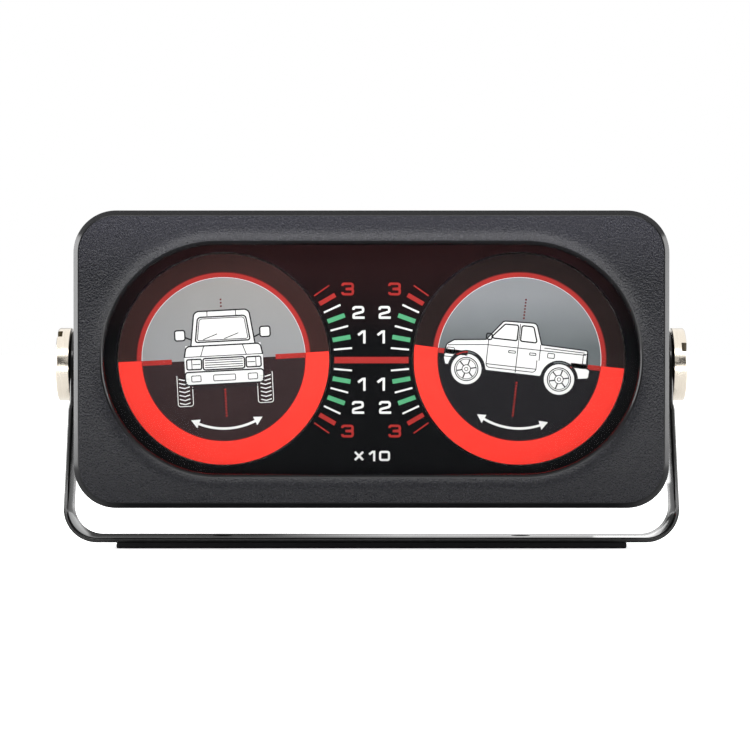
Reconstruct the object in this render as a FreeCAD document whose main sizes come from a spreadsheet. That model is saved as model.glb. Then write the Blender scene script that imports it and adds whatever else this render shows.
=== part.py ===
import FreeCAD, Part
import math
import os
import re
import Sketcher

# Twin-dial vehicle clinometer on a U bracket. Millimetres and degrees.
# Frame: origin at the centre of the adhesive pad's underside, +X to the right,
# -Y towards the reader, +Z up.

sizes = {
    # mounting bracket, a strap bent into a U
    "strap_width": 16.0,
    "strap_thickness": 1.2,
    "strap_bend_radius": 8.0,
    "arm_splay": 2.7,
    "ear_drop": 9.0,
    "joggle_depth": 0.4,
    "joggle_tilt": 15.0,
    "base_gap": 7.6,
    "base_hole_spacing": 72.0,
    "base_hole_radius": 2.3,
    "pad_length": 122.0,
    "pad_width": 15.6,
    "pad_thickness": 1.4,
    # case: bezel in front, housing behind
    "case_width": 140.0,
    "case_height": 70.0,
    "case_depth": 38.0,
    "case_corner_radius": 10.0,
    "case_wall": 2.5,
    "bezel_depth": 12.0,
    "bezel_face_thickness": 3.0,
    "bezel_chamfer": 1.2,
    "side_border": 7.1,
    "top_border": 8.1,
    "window_edge_radius": 1.1,
    "rear_wall": 2.0,
    "rear_edge_radius": 2.0,
    "lap_depth": 2.0,
    "lap_clearance": 0.1,
    "back_recess_width": 78.0,
    "back_recess_height": 22.0,
    "back_recess_depth": 0.4,
    "back_recess_rise": 12.0,
    # corner screws that join bezel and housing
    "post_inset": 8.5,
    "post_radius": 3.0,
    "post_hole_clearance": 0.2,
    "post_end_gap": 0.2,
    "tube_radius": 4.4,
    "case_screw_radius": 1.4,
    "case_screw_grip": 7.0,
    "case_screw_head_radius": 2.7,
    "case_screw_head_height": 1.9,
    "counterbore_depth": 2.5,
    "screw_clearance": 0.2,
    "screw_tip_gap": 0.3,
    "thread_clearance": 0.03,
    # flat layers stacked behind the window
    "layer_clearance": 0.3,
    "lens_thickness": 2.0,
    "gasket_thickness": 1.3,
    "gasket_set_back": 0.5,
    "plate_thickness": 1.5,
    "guide_thickness": 2.0,
    "frame_thickness": 2.0,
    # dials
    "dial_border": 1.9,
    "dial_inset": 1.0,
    "disc_thickness": 0.8,
    "disc_recess": 0.1,
    "disc_gap": 0.4,
    "hub_radius": 3.5,
    "hub_length": 2.0,
    "hub_hole_gap": 0.7,
    "spindle_radius": 1.0,
    "seat_clearance": 0.02,
    "running_clearance": 0.05,
    "thrust_gap": 0.2,
    # plain bushes
    "bush_radius": 2.5,
    "bush_flange_radius": 3.5,
    "bush_flange_thickness": 0.8,
    "boss_radius": 5.0,
    "boss_length": 4.0,
    # roll movement: half-moon weight between frame and bridge
    "roll_weight_radius": 16.0,
    "roll_weight_inset": 0.9,
    "roll_weight_thickness": 5.0,
    "weight_hub_radius": 3.2,
    "bridge_rear_room": 9.0,
    "bridge_thickness": 2.0,
    "bridge_post_spacing": 41.0,
    "bridge_post_radius": 2.9,
    "bridge_bar_margin": 2.9,
    "bridge_screw_radius": 1.1,
    "bridge_screw_grip": 7.0,
    "bridge_screw_head_radius": 2.1,
    "bridge_screw_head_height": 1.5,
    "spindle_overhang": 0.5,
    # pitch movement: pendulum on a cross spindle, mitre gears to the dial
    "pendulum_clearance": 0.9,
    "pendulum_thickness": 6.0,
    "pendulum_offset": 9.0,
    "cheek_span": 36.0,
    "cheek_thickness": 3.0,
    "cheek_width": 10.0,
    "cheek_margin": 3.5,
    "gear_pitch_radius": 5.0,
    "gear_face": 2.0,
    "gear_hub_radius": 2.6,
    # light behind the dials
    "board_width": 14.0,
    "board_height": 52.0,
    "board_thickness": 1.2,
    "board_screw_spacing": 45.0,
    "board_screw_radius": 1.0,
    "board_screw_head_radius": 1.9,
    "board_screw_head_height": 1.2,
    "lamp_window_width": 9.0,
    "lamp_window_height": 36.0,
    "lamp_pitch": 9.0,
    "lamp_width": 3.5,
    "lamp_height": 2.8,
    "lamp_thickness": 1.4,
    "socket_width": 8.0,
    "socket_depth": 6.0,
    "socket_height": 5.0,
    # cable inlet
    "inlet_drop": 20.0,
    "inlet_bore_radius": 2.25,
    "inlet_neck_radius": 4.0,
    "inlet_flange_radius": 5.8,
    "inlet_flange_thickness": 1.4,
    # pivot: knobs, washers and threaded inserts
    "pivot_drop": 1.3,
    "friction_washer_radius": 6.6,
    "friction_washer_thickness": 0.8,
    "spring_washer_radius": 5.2,
    "spring_washer_thickness": 0.5,
    "face_play": 0.05,
    "knob_radius": 8.8,
    "knob_thickness": 3.6,
    "knob_dome": 0.5,
    "knob_edge": 0.5,
    "knob_seat_edge": 0.15,
    "knob_seat_gap": 0.15,
    "knob_recess_clearance": 0.4,
    "knob_slot_width": 2.4,
    "knob_slot_depth": 1.75,
    "left_slot_angle": 57.6,
    "right_slot_angle": 28.8,
    "stud_radius": 2.5,
    "stud_chamfer": 0.35,
    "stud_end_gap": 0.6,
    "insert_radius": 3.8,
    "insert_length": 8.0,
    "insert_boss_radius": 5.6,
    "insert_boss_floor": 1.0,
}
gear_teeth = 16
gear_addendum = 0.7     # in modules
gear_dedendum = 0.9
gear_tip_share = 0.24   # of the tooth pitch
gear_root_share = 0.60
lamp_count = 4
screw_rim_share = 0.6   # of the head's height
screw_top_share = 0.8   # of the head's radius
cross_reach_share = 0.55
cross_half_share = 0.11
cross_depth_share = 0.6
tolerance = 0.001

# places worked out from the sizes
case_mid_z = "(pad_thickness + strap_thickness + base_gap + case_height / 2)"
pivot_z = f"({case_mid_z} - pivot_drop)"
front_y = "(-case_depth / 2)"
back_y = "(case_depth / 2)"
split_y = f"({front_y} + bezel_depth)"
lens_y = f"({front_y} + bezel_face_thickness)"
gasket_y = f"({lens_y} + lens_thickness)"
plate_y = f"({gasket_y} + gasket_thickness)"
guide_y = f"({plate_y} + plate_thickness)"
frame_y = f"({guide_y} + guide_thickness)"
frame_back_y = f"({frame_y} + frame_thickness)"
disc_y = f"({plate_y} + disc_recess)"
hub_y = f"({disc_y} + disc_thickness)"
boss_end_y = f"({frame_back_y} + boss_length)"
thrust_y = f"({boss_end_y} + bush_flange_thickness + thrust_gap)"
movement_room = f"({back_y} - rear_wall - {frame_back_y})"
bridge_stand_off = f"({movement_room} - bridge_rear_room)"
bridge_y = f"({frame_back_y} + {bridge_stand_off})"
bridge_back_y = f"({bridge_y} + bridge_thickness)"
pendulum_stand_off = f"({movement_room} / 2)"
pendulum_radius = f"({pendulum_stand_off} - pendulum_clearance)"
pendulum_y = f"({frame_back_y} + {pendulum_stand_off})"
window_length = "(case_width - 2 * side_border)"
window_height = "(case_height - 2 * top_border)"
dial_x = f"({window_length} / 2 - {window_height} / 2 - dial_inset)"
disc_radius = f"({window_height} / 2 - dial_border)"
cheek_in_x = f"({dial_x} - cheek_span / 2 + cheek_thickness)"
cheek_out_x = f"({dial_x} + cheek_span / 2 - cheek_thickness)"
cavity_width = "(case_width - 2 * case_wall)"
cavity_height = "(case_height - 2 * case_wall)"
cavity_radius = "(case_corner_radius - case_wall)"
layer_width = f"({cavity_width} - 2 * layer_clearance)"
layer_height = f"({cavity_height} - 2 * layer_clearance)"
layer_radius = f"({cavity_radius} - layer_clearance)"
post_hole_radius = "(post_radius + post_hole_clearance)"
insert_boss_x = "(case_width / 2 - insert_length - insert_boss_floor)"
corners = [(f"({a} * (case_width / 2 - post_inset))", f"({b} * (case_height / 2 - post_inset))")
           for a, b in ((-1, -1), (1, -1), (1, 1), (-1, 1))]
arm_in_x = "(case_width / 2 + friction_washer_thickness + face_play)"
arm_out_x = f"({arm_in_x} + strap_thickness)"
spring_x = f"({arm_out_x} + face_play)"
knob_x = f"({arm_out_x} + knob_seat_gap)"
knob_recess_depth = f"({spring_x} + spring_washer_thickness - {knob_x})"

vec = FreeCAD.Vector
turns = {
    "+X": FreeCAD.Rotation(vec(0, 1, 0), 90),
    "-X": FreeCAD.Rotation(vec(0, 1, 0), -90),
    "+Y": FreeCAD.Rotation(vec(1, 0, 0), -90),
    "-Y": FreeCAD.Rotation(vec(1, 0, 0), 90),
}
alias = re.compile(r"\b(" + "|".join(sizes) + r")\b")
made = []

doc = FreeCAD.newDocument("clinometer")
sheet = doc.addObject("Spreadsheet::Sheet", "Sizes")
for row, (name, number) in enumerate(sizes.items(), start=1):
    sheet.set(f"A{row}", name)
    sheet.set(f"B{row}", str(number))
    sheet.setAlias(f"B{row}", name)
doc.recompute()


# ---- shared steps ----

def linked(text):
    """The same expression, read from the sheet."""
    return alias.sub(r"Sizes.\1", str(text))


def value(text):
    return float(sheet.evalExpression(str(text)))


def seat(item, x="0", y="0", z="0", turn=FreeCAD.Rotation()):
    """Put an item's own origin at a place that follows the sheet."""
    item.Placement = FreeCAD.Placement(vec(value(x), value(y), value(z)), turn)
    item.setExpression("Placement.Base.x", linked(x))
    item.setExpression("Placement.Base.y", linked(y))
    item.setExpression("Placement.Base.z", linked(z))


def keep(item, label):
    """Name an item as a finished sub-part."""
    item.Label = label
    made.append(item)
    return item


def new_body(name):
    return doc.addObject("PartDesign::Body", name)


def new_sketch(body, plane, height="0"):
    sketch = body.newObject("Sketcher::SketchObject", "sketch")
    support = [f for f in body.Origin.OriginFeatures if f.Role == plane][0]
    sketch.AttachmentSupport = [(support, "")]
    sketch.MapMode = "FlatFace"
    sketch.setExpression("AttachmentOffset.Base.z", linked(height))
    return sketch


def hold(sketch, kind, where, size):
    """A constraint whose value follows the sheet."""
    index = sketch.addConstraint(Sketcher.Constraint(kind, *where, value(size)))
    sketch.setExpression(f"Constraints[{index}]", linked(size))


def circle(sketch, x, y, radius):
    shape = Part.Circle(vec(value(x), value(y), 0), vec(0, 0, 1), value(radius))
    index = sketch.addGeometry(shape, False)
    hold(sketch, "DistanceX", (-1, 1, index, 3), x)
    hold(sketch, "DistanceY", (-1, 1, index, 3), y)
    hold(sketch, "Radius", (index,), radius)


def path(sketch, steps):
    """A closed outline. A step is (x, y), then a straight edge to the next step,
    or (x, y, centre x, centre y, radius), then an arc under a half turn."""
    first = sketch.GeometryCount
    spots = [vec(value(step[0]), value(step[1]), 0) for step in steps]
    starts = []
    for index, step in enumerate(steps):
        here = spots[index]
        there = spots[(index + 1) % len(steps)]
        if len(step) == 2:
            sketch.addGeometry(Part.LineSegment(here, there), False)
            starts.append(1)
            continue
        centre = vec(value(step[2]), value(step[3]), 0)
        forward = (here - centre).cross(there - centre).z > 0
        low, high = (here, there) if forward else (there, here)
        ring = Part.Circle(centre, vec(0, 0, 1), value(step[4]))
        angles = [math.atan2(p.y - centre.y, p.x - centre.x) for p in (low, high)]
        sketch.addGeometry(Part.ArcOfCircle(ring, angles[0], angles[1]), False)
        starts.append(1 if forward else 2)
    for index, step in enumerate(steps):
        edge = first + index
        after = (index + 1) % len(steps)
        end = 3 - starts[index]
        joint = Sketcher.Constraint("Coincident", edge, end, first + after, starts[after])
        sketch.addConstraint(joint)
        hold(sketch, "DistanceX", (-1, 1, edge, starts[index]), step[0])
        hold(sketch, "DistanceY", (-1, 1, edge, starts[index]), step[1])
        if len(step) == 5:
            hold(sketch, "Radius", (edge,), step[4])


def rectangle(sketch, left, bottom, right, top):
    path(sketch, [(left, bottom), (right, bottom), (right, top), (left, top)])


def rounded_rectangle(sketch, width, height, radius, x="0", y="0"):
    left, right = f"({x} - {width} / 2)", f"({x} + {width} / 2)"
    low, high = f"({y} - {height} / 2)", f"({y} + {height} / 2)"
    path(sketch, [
        (f"{left} + {radius}", low),
        (f"{right} - {radius}", low, f"{right} - {radius}", f"{low} + {radius}", radius),
        (right, f"{low} + {radius}"),
        (right, f"{high} - {radius}", f"{right} - {radius}", f"{high} - {radius}", radius),
        (f"{right} - {radius}", high),
        (f"{left} + {radius}", high, f"{left} + {radius}", f"{high} - {radius}", radius),
        (left, f"{high} - {radius}"),
        (left, f"{low} + {radius}", f"{left} + {radius}", f"{low} + {radius}", radius),
    ])


def stadium(sketch, length, height, upright=False):
    """Straight sides along the sketch's first axis, or its second, with half-round ends."""
    radius = f"({height} / 2)"
    end = f"({length} / 2 - {radius})"
    tip = f"({length} / 2)"

    def spot(along, across):
        return (across, along) if upright else (along, across)

    path(sketch, [
        spot(f"-{end}", f"-{radius}"),
        spot(end, f"-{radius}") + spot(end, "0") + (radius,),
        spot(tip, "0") + spot(end, "0") + (radius,),
        spot(end, radius),
        spot(f"-{end}", radius) + spot(f"-{end}", "0") + (radius,),
        spot(f"-{tip}", "0") + spot(f"-{end}", "0") + (radius,),
    ])


def extrude(body, sketch, length, kind="Pad", reverse=False, both=False):
    """A pad, or a pocket that has to remove something."""
    before = body.Shape.Volume if kind == "Pocket" else 0
    feature = body.newObject("PartDesign::" + kind, kind.lower())
    feature.Profile = sketch
    feature.setExpression("Length", linked(length))
    feature.Reversed = reverse
    feature.SideType = "Symmetric" if both else "One side"
    doc.recompute()
    if kind == "Pocket" and body.Shape.Volume > before - tolerance:
        raise ValueError(f"{body.Name}: a pocket removes nothing")
    return feature


def edges_where(shape, test):
    return [f"Edge{i}" for i, edge in enumerate(shape.Edges, start=1) if test(edge)]


def soften(body, kind, size, test):
    """A fillet or chamfer along the edges of the tip that pass the test."""
    tip = body.Tip
    feature = body.newObject("PartDesign::" + kind, kind.lower())
    feature.Base = (tip, edges_where(tip.Shape, test))
    feature.setExpression("Radius" if kind == "Fillet" else "Size", linked(size))
    doc.recompute()


def turned(name, profile):
    """A solid of revolution about its own Z; the profile is (radius, height) steps."""
    body = new_body(name)
    sketch = new_sketch(body, "XZ_Plane")
    path(sketch, profile)
    spin = body.newObject("PartDesign::Revolution", "revolution")
    spin.Profile = sketch
    spin.ReferenceAxis = (sketch, ["V_Axis"])
    spin.Angle = 360
    doc.recompute()
    return body


def ring(name, inner, outer, length):
    return turned(name, [(inner, "0"), (outer, "0"), (outer, length), (inner, length)])


def rod(name, radius, length):
    item = doc.addObject("Part::Cylinder", name)
    item.setExpression("Radius", linked(radius))
    item.setExpression("Height", linked(length))
    return item


def block(name, width, depth, height):
    item = doc.addObject("Part::Box", name)
    item.setExpression("Length", linked(width))
    item.setExpression("Width", linked(depth))
    item.setExpression("Height", linked(height))
    return item


def group(label, items):
    """Separate solids that share one node."""
    set_of = doc.addObject("Part::Compound", label)
    set_of.Links = items
    keep(set_of, label)


def cross_screw(name, shank, length, head, height):
    """Head from 0 upwards with a cross recess, shank from 0 downwards."""
    body = turned(name, [
        ("0", f"-{length}"), (shank, f"-{length}"), (shank, "0"), (head, "0"),
        (head, f"{height} * {screw_rim_share}"), (f"{head} * {screw_top_share}", height),
        ("0", height),
    ])
    sketch = new_sketch(body, "XY_Plane", height)
    arm, half = f"({head} * {cross_reach_share})", f"({head} * {cross_half_share})"
    path(sketch, [
        (half, half), (half, arm), (f"-{half}", arm), (f"-{half}", half),
        (f"-{arm}", half), (f"-{arm}", f"-{half}"), (f"-{half}", f"-{half}"), (f"-{half}", f"-{arm}"),
        (half, f"-{arm}"), (half, f"-{half}"), (arm, f"-{half}"), (arm, half),
    ])
    extrude(body, sketch, f"{height} * {cross_depth_share}", "Pocket")
    return body


# ---- bracket ----

def mounting_bracket():
    """U strap: flat base, two bends, splayed arms, and a joggle to upright round ears."""
    ear_top = f"({pivot_z} + strap_width / 2)"
    ear_low = f"({pivot_z} - ear_drop)"
    inner_low = f"({ear_low} - strap_thickness * tan(joggle_tilt / 2))"
    arm_top_x = f"({arm_out_x} + joggle_depth)"
    arm_top_z = f"({ear_low} - joggle_depth / tan(joggle_tilt))"
    mean_tilt = "((joggle_tilt + arm_splay) / 2)"
    inner_step = "(strap_thickness / cos((joggle_tilt - arm_splay) / 2))"
    arm_inner_x = f"({arm_top_x} - {inner_step} * cos({mean_tilt}))"
    arm_inner_z = f"({arm_top_z} - {inner_step} * sin({mean_tilt}))"
    inner_bend = "(strap_bend_radius - strap_thickness)"
    bend_z = "(pad_thickness + strap_bend_radius)"
    arm_height = f"({arm_top_z} - {bend_z} - strap_bend_radius * sin(arm_splay))"
    bend_x = f"({arm_top_x} + tan(arm_splay) * {arm_height} - strap_bend_radius * cos(arm_splay))"
    out_x, in_x = [f"({bend_x} + {r} * cos(arm_splay))" for r in ("strap_bend_radius", inner_bend)]
    out_z, in_z = [f"({bend_z} + {r} * sin(arm_splay))" for r in ("strap_bend_radius", inner_bend)]
    base_low, base_top = "pad_thickness", "(pad_thickness + strap_thickness)"
    body = new_body("mounting_bracket")
    sketch = new_sketch(body, "XZ_Plane")
    path(sketch, [
        (arm_out_x, ear_top), (arm_out_x, ear_low), (arm_top_x, arm_top_z),
        (out_x, out_z, bend_x, bend_z, "strap_bend_radius"),
        (bend_x, base_low),
        (f"-{bend_x}", base_low, f"-{bend_x}", bend_z, "strap_bend_radius"),
        (f"-{out_x}", out_z), (f"-{arm_top_x}", arm_top_z),
        (f"-{arm_out_x}", ear_low), (f"-{arm_out_x}", ear_top),
        (f"-{arm_in_x}", ear_top), (f"-{arm_in_x}", inner_low), (f"-{arm_inner_x}", arm_inner_z),
        (f"-{in_x}", in_z, f"-{bend_x}", bend_z, inner_bend),
        (f"-{bend_x}", base_top),
        (bend_x, base_top, bend_x, bend_z, inner_bend),
        (in_x, in_z), (arm_inner_x, arm_inner_z), (arm_in_x, inner_low), (arm_in_x, ear_top),
    ])
    extrude(body, sketch, "strap_width", both=True)
    corners_cut = new_sketch(body, "YZ_Plane")
    half = "(strap_width / 2)"
    for side in ("", "-"):
        path(corners_cut, [
            (f"{side}{half}", pivot_z, "0", pivot_z, half),
            ("0", ear_top), (f"{side}{half}", ear_top),
        ])
    extrude(body, corners_cut, f"2 * {arm_out_x} + strap_width", "Pocket", both=True)
    pivots = new_sketch(body, "YZ_Plane")
    circle(pivots, "0", pivot_z, "stud_radius + 2 * running_clearance")
    extrude(body, pivots, f"2 * {arm_out_x} + strap_width", "Pocket", both=True)
    screws = new_sketch(body, "XY_Plane", base_top)
    for side in ("-", ""):
        circle(screws, f"{side}base_hole_spacing / 2", "0", "base_hole_radius")
    extrude(body, screws, "strap_thickness", "Pocket")
    keep(body, "mounting_bracket")


def adhesive_pad():
    body = new_body("adhesive_pad")
    sketch = new_sketch(body, "XY_Plane")
    rectangle(sketch, "-pad_length / 2", "-pad_width / 2", "pad_length / 2", "pad_width / 2")
    for side in ("-", ""):
        circle(sketch, f"{side}base_hole_spacing / 2", "0", "base_hole_radius")
    extrude(body, sketch, "pad_thickness")
    keep(body, "adhesive_pad")


# ---- case shells ----

def front_bezel():
    """Open-backed shell with the stadium window, four screw posts and a rebate for the housing's lap."""
    body = new_body("front_bezel")
    seat(body, y=front_y, z=case_mid_z)
    outside = new_sketch(body, "XZ_Plane")
    rounded_rectangle(outside, "case_width", "case_height", "case_corner_radius")
    extrude(body, outside, "bezel_depth", reverse=True)
    soften(body, "Chamfer", "bezel_chamfer", lambda edge: edge.BoundBox.YMax < tolerance)
    cavity = new_sketch(body, "XZ_Plane", "-bezel_face_thickness")
    rounded_rectangle(cavity, cavity_width, cavity_height, cavity_radius)
    extrude(body, cavity, "bezel_depth - bezel_face_thickness", "Pocket")
    rebate = new_sketch(body, "XZ_Plane", "lap_depth - bezel_depth")
    lap = "(case_wall / 2)"
    rounded_rectangle(rebate, f"({cavity_width} + 2 * {lap})", f"({cavity_height} + 2 * {lap})",
                      f"({cavity_radius} + {lap})")
    extrude(body, rebate, "lap_depth", "Pocket")
    window = new_sketch(body, "XZ_Plane")
    stadium(window, window_length, window_height)
    extrude(body, window, "bezel_face_thickness", "Pocket")
    reach_x = value(f"{window_length} / 2") + tolerance
    reach_z = value(f"{window_height} / 2") + tolerance
    soften(body, "Fillet", "window_edge_radius",
           lambda edge: edge.BoundBox.YMax < tolerance and abs(edge.CenterOfMass.x) < reach_x
           and abs(edge.CenterOfMass.z) < reach_z)
    post_length = f"({frame_back_y} - {lens_y} - post_end_gap)"
    posts = new_sketch(body, "XZ_Plane", "-bezel_face_thickness")
    for x, z in corners:
        circle(posts, x, z, "post_radius")
    extrude(body, posts, post_length, reverse=True)
    pilots = new_sketch(body, "XZ_Plane", f"-bezel_face_thickness - {post_length} + case_screw_grip")
    for x, z in corners:
        circle(pilots, x, z, "case_screw_radius + thread_clearance")
    extrude(body, pilots, "case_screw_grip", "Pocket")
    keep(body, "front_bezel")


def rear_housing():
    """Closed-backed shell with a lap, four screw tubes, two insert bosses and the cable hole."""
    body = new_body("rear_housing")
    seat(body, y=split_y, z=case_mid_z)
    depth = "(case_depth - bezel_depth)"
    outside = new_sketch(body, "XZ_Plane")
    rounded_rectangle(outside, "case_width", "case_height", "case_corner_radius")
    extrude(body, outside, depth, reverse=True)
    back = value(depth)
    soften(body, "Fillet", "rear_edge_radius", lambda edge: edge.BoundBox.YMin > back - tolerance)
    lip = new_sketch(body, "XZ_Plane")
    lap = "(case_wall / 2 - lap_clearance)"
    rounded_rectangle(lip, f"({cavity_width} + 2 * {lap})", f"({cavity_height} + 2 * {lap})",
                      f"({cavity_radius} + {lap})")
    extrude(body, lip, "lap_depth - lap_clearance")
    cavity = new_sketch(body, "XZ_Plane", "lap_depth")
    rounded_rectangle(cavity, cavity_width, cavity_height, cavity_radius)
    extrude(body, cavity, f"lap_depth + {depth} - rear_wall", "Pocket")
    tube_start = f"({frame_back_y} - {split_y})"
    tubes = new_sketch(body, "XZ_Plane", f"-{tube_start}")
    for x, z in corners:
        circle(tubes, x, z, "tube_radius")
    extrude(body, tubes, f"{depth} - {tube_start} - rear_wall / 2", reverse=True)
    wall_in = f"({cavity_width} / 2)"
    boss_length = f"({wall_in} - {insert_boss_x})"
    for side, turn_back in (("-", False), ("", True)):
        boss = new_sketch(body, "YZ_Plane", f"{side}({wall_in} + case_wall / 2)")
        circle(boss, f"-{split_y}", "-pivot_drop", "insert_boss_radius")
        extrude(body, boss, f"{boss_length} + case_wall / 2", reverse=turn_back)
        seat_hole = new_sketch(body, "YZ_Plane", f"{side}case_width / 2")
        circle(seat_hole, f"-{split_y}", "-pivot_drop", "insert_radius + seat_clearance")
        extrude(body, seat_hole, f"case_wall + {boss_length}", "Pocket", reverse=not turn_back)
    bores = new_sketch(body, "XZ_Plane", f"-{tube_start}")
    for x, z in corners:
        circle(bores, x, z, "case_screw_radius + screw_clearance")
    extrude(body, bores, f"{depth} - {tube_start}", "Pocket")
    heads = new_sketch(body, "XZ_Plane", f"counterbore_depth - {depth}")
    for x, z in corners:
        circle(heads, x, z, "case_screw_head_radius + screw_clearance")
    extrude(body, heads, "counterbore_depth", "Pocket")
    inlet = new_sketch(body, "XZ_Plane", f"rear_wall - {depth}")
    circle(inlet, "0", "-inlet_drop", "inlet_neck_radius + seat_clearance")
    extrude(body, inlet, "rear_wall", "Pocket")
    recess = new_sketch(body, "XZ_Plane", f"back_recess_depth - {depth}")
    rounded_rectangle(recess, "back_recess_width", "back_recess_height", "rear_edge_radius",
                      y="back_recess_rise")
    extrude(body, recess, "back_recess_depth", "Pocket")
    keep(body, "rear_housing")


def case_screws():
    head_y = f"({back_y} - counterbore_depth)"
    length = f"({head_y} - {frame_back_y} + post_end_gap + case_screw_grip - screw_tip_gap)"
    items = []
    for x, z in corners:
        screw = cross_screw("case_screw", "case_screw_radius", length, "case_screw_head_radius",
                            "case_screw_head_height")
        seat(screw, x, head_y, f"{case_mid_z} + {z}", turns["+Y"])
        items.append(screw)
    group("case_screws", items)


def cable_grommet():
    """Rubber sleeve gripping the rear wall, with a flange on each side of it."""
    neck, flange, thick = "inlet_neck_radius", "inlet_flange_radius", "inlet_flange_thickness"
    bore = "inlet_bore_radius"
    body = turned("cable_grommet", [
        (bore, f"-{thick}"), (flange, f"-{thick}"), (flange, "0"), (neck, "0"),
        (neck, "rear_wall"), (flange, "rear_wall"), (flange, f"rear_wall + {thick} / 2"),
        (f"{flange} - {thick} / 2", f"rear_wall + {thick}"), (bore, f"rear_wall + {thick}"),
    ])
    seat(body, "0", f"{back_y} - rear_wall", f"{case_mid_z} - inlet_drop", turns["+Y"])
    keep(body, "cable_grommet")


# ---- flat layers behind the window ----

def layer(name, y, thickness, holes):
    """A flat sheet that fits the case, pierced for the corner posts; holes adds its own openings."""
    body = new_body(name)
    seat(body, y=y, z=case_mid_z)
    sketch = new_sketch(body, "XZ_Plane")
    rounded_rectangle(sketch, layer_width, layer_height, layer_radius)
    for x, z in corners:
        circle(sketch, x, z, post_hole_radius)
    holes(sketch)
    extrude(body, sketch, thickness, reverse=True)
    return body


def lens():
    keep(layer("lens", lens_y, "lens_thickness", lambda sketch: None), "lens")


def lens_gasket():
    def opening(sketch):
        margin = "2 * gasket_set_back"
        stadium(sketch, f"({window_length} + {margin})", f"({window_height} + {margin})")
    keep(layer("lens_gasket", gasket_y, "gasket_thickness", opening), "lens_gasket")


def scale_plate():
    def dial_windows(sketch):
        for side in ("-", ""):
            circle(sketch, side + dial_x, "0", f"{disc_radius} + disc_gap")
    keep(layer("scale_plate", plate_y, "plate_thickness", dial_windows), "scale_plate")


def light_guide():
    def hub_holes(sketch):
        for side in ("-", ""):
            circle(sketch, side + dial_x, "0", "hub_radius + hub_hole_gap")
    keep(layer("light_guide", guide_y, "guide_thickness", hub_holes), "light_guide")


# ---- movement ----

def movement_frame():
    """Plate behind the light guide with dial bosses, bridge posts, pendulum cheeks, a lamp window
    and side notches that clear the housing's insert bosses."""
    def openings(sketch):
        for side in ("-", ""):
            circle(sketch, side + dial_x, "0", "bush_radius + seat_clearance")
            circle(sketch, "0", f"{side}board_screw_spacing / 2", "board_screw_radius + thread_clearance")
        rectangle(sketch, "-lamp_window_width / 2", "-lamp_window_height / 2",
                  "lamp_window_width / 2", "lamp_window_height / 2")
    body = layer("movement_frame", frame_y, "frame_thickness", openings)
    back = "-frame_thickness"
    notches = new_sketch(body, "XZ_Plane")
    notch_half = "(insert_boss_radius + layer_clearance)"
    low, high = f"(-pivot_drop - {notch_half})", f"(-pivot_drop + {notch_half})"
    inner, outer = f"({insert_boss_x} - layer_clearance)", "(case_width / 2)"
    rectangle(notches, f"-{outer}", low, f"-{inner}", high)
    rectangle(notches, inner, low, outer, high)
    extrude(body, notches, "frame_thickness", "Pocket")
    bosses = new_sketch(body, "XZ_Plane", back)
    for side in ("-", ""):
        circle(bosses, side + dial_x, "0", "boss_radius")
        circle(bosses, side + dial_x, "0", "bush_radius + seat_clearance")
    extrude(body, bosses, "boss_length", reverse=True)
    posts = new_sketch(body, "XZ_Plane", back)
    for side in ("-", ""):
        circle(posts, f"-{dial_x}", f"{side}bridge_post_spacing / 2", "bridge_post_radius")
    extrude(body, posts, bridge_stand_off, reverse=True)
    pilots = new_sketch(body, "XZ_Plane", f"{back} - {bridge_stand_off} + bridge_screw_grip")
    for side in ("-", ""):
        circle(pilots, f"-{dial_x}", f"{side}bridge_post_spacing / 2",
               "bridge_screw_radius + thread_clearance")
    extrude(body, pilots, "bridge_screw_grip", "Pocket")
    cheeks = new_sketch(body, "XZ_Plane", back)
    for x in (f"({cheek_in_x} - cheek_thickness)", cheek_out_x):
        rectangle(cheeks, x, "-cheek_width / 2", f"{x} + cheek_thickness", "cheek_width / 2")
    extrude(body, cheeks, f"{pendulum_stand_off} + cheek_margin", reverse=True)
    bores = new_sketch(body, "YZ_Plane", f"{cheek_in_x} - cheek_thickness")
    circle(bores, f"frame_thickness + {pendulum_stand_off}", "0", "bush_radius + seat_clearance")
    extrude(body, bores, "cheek_span", "Pocket", reverse=True)
    keep(body, "movement_frame")


def bush(label, length, x, y, z, turn):
    """Flanged sleeve: the flange lies from 0 upwards, the sleeve from 0 downwards."""
    bore = "spindle_radius + running_clearance"
    body = turned(label, [
        (bore, f"-{length}"), ("bush_radius", f"-{length}"), ("bush_radius", "0"),
        ("bush_flange_radius", "0"), ("bush_flange_radius", "bush_flange_thickness"),
        (bore, "bush_flange_thickness"),
    ])
    seat(body, x, y, z, turns[turn])
    keep(body, label)


def bushes():
    dial_sleeve = "(boss_length + frame_thickness)"
    bush("roll_front_bush", dial_sleeve, f"-{dial_x}", boss_end_y, case_mid_z, "+Y")
    bush("roll_rear_bush", "bridge_thickness", f"-{dial_x}", bridge_back_y, case_mid_z, "+Y")
    bush("pitch_dial_bush", dial_sleeve, dial_x, boss_end_y, case_mid_z, "+Y")
    for label, x, turn in (("pendulum_inner_bush", f"{cheek_in_x} - cheek_thickness", "-X"),
                           ("pendulum_outer_bush", f"{cheek_out_x} + cheek_thickness", "+X")):
        bush(label, "cheek_thickness", x, pendulum_y, case_mid_z, turn)


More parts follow.
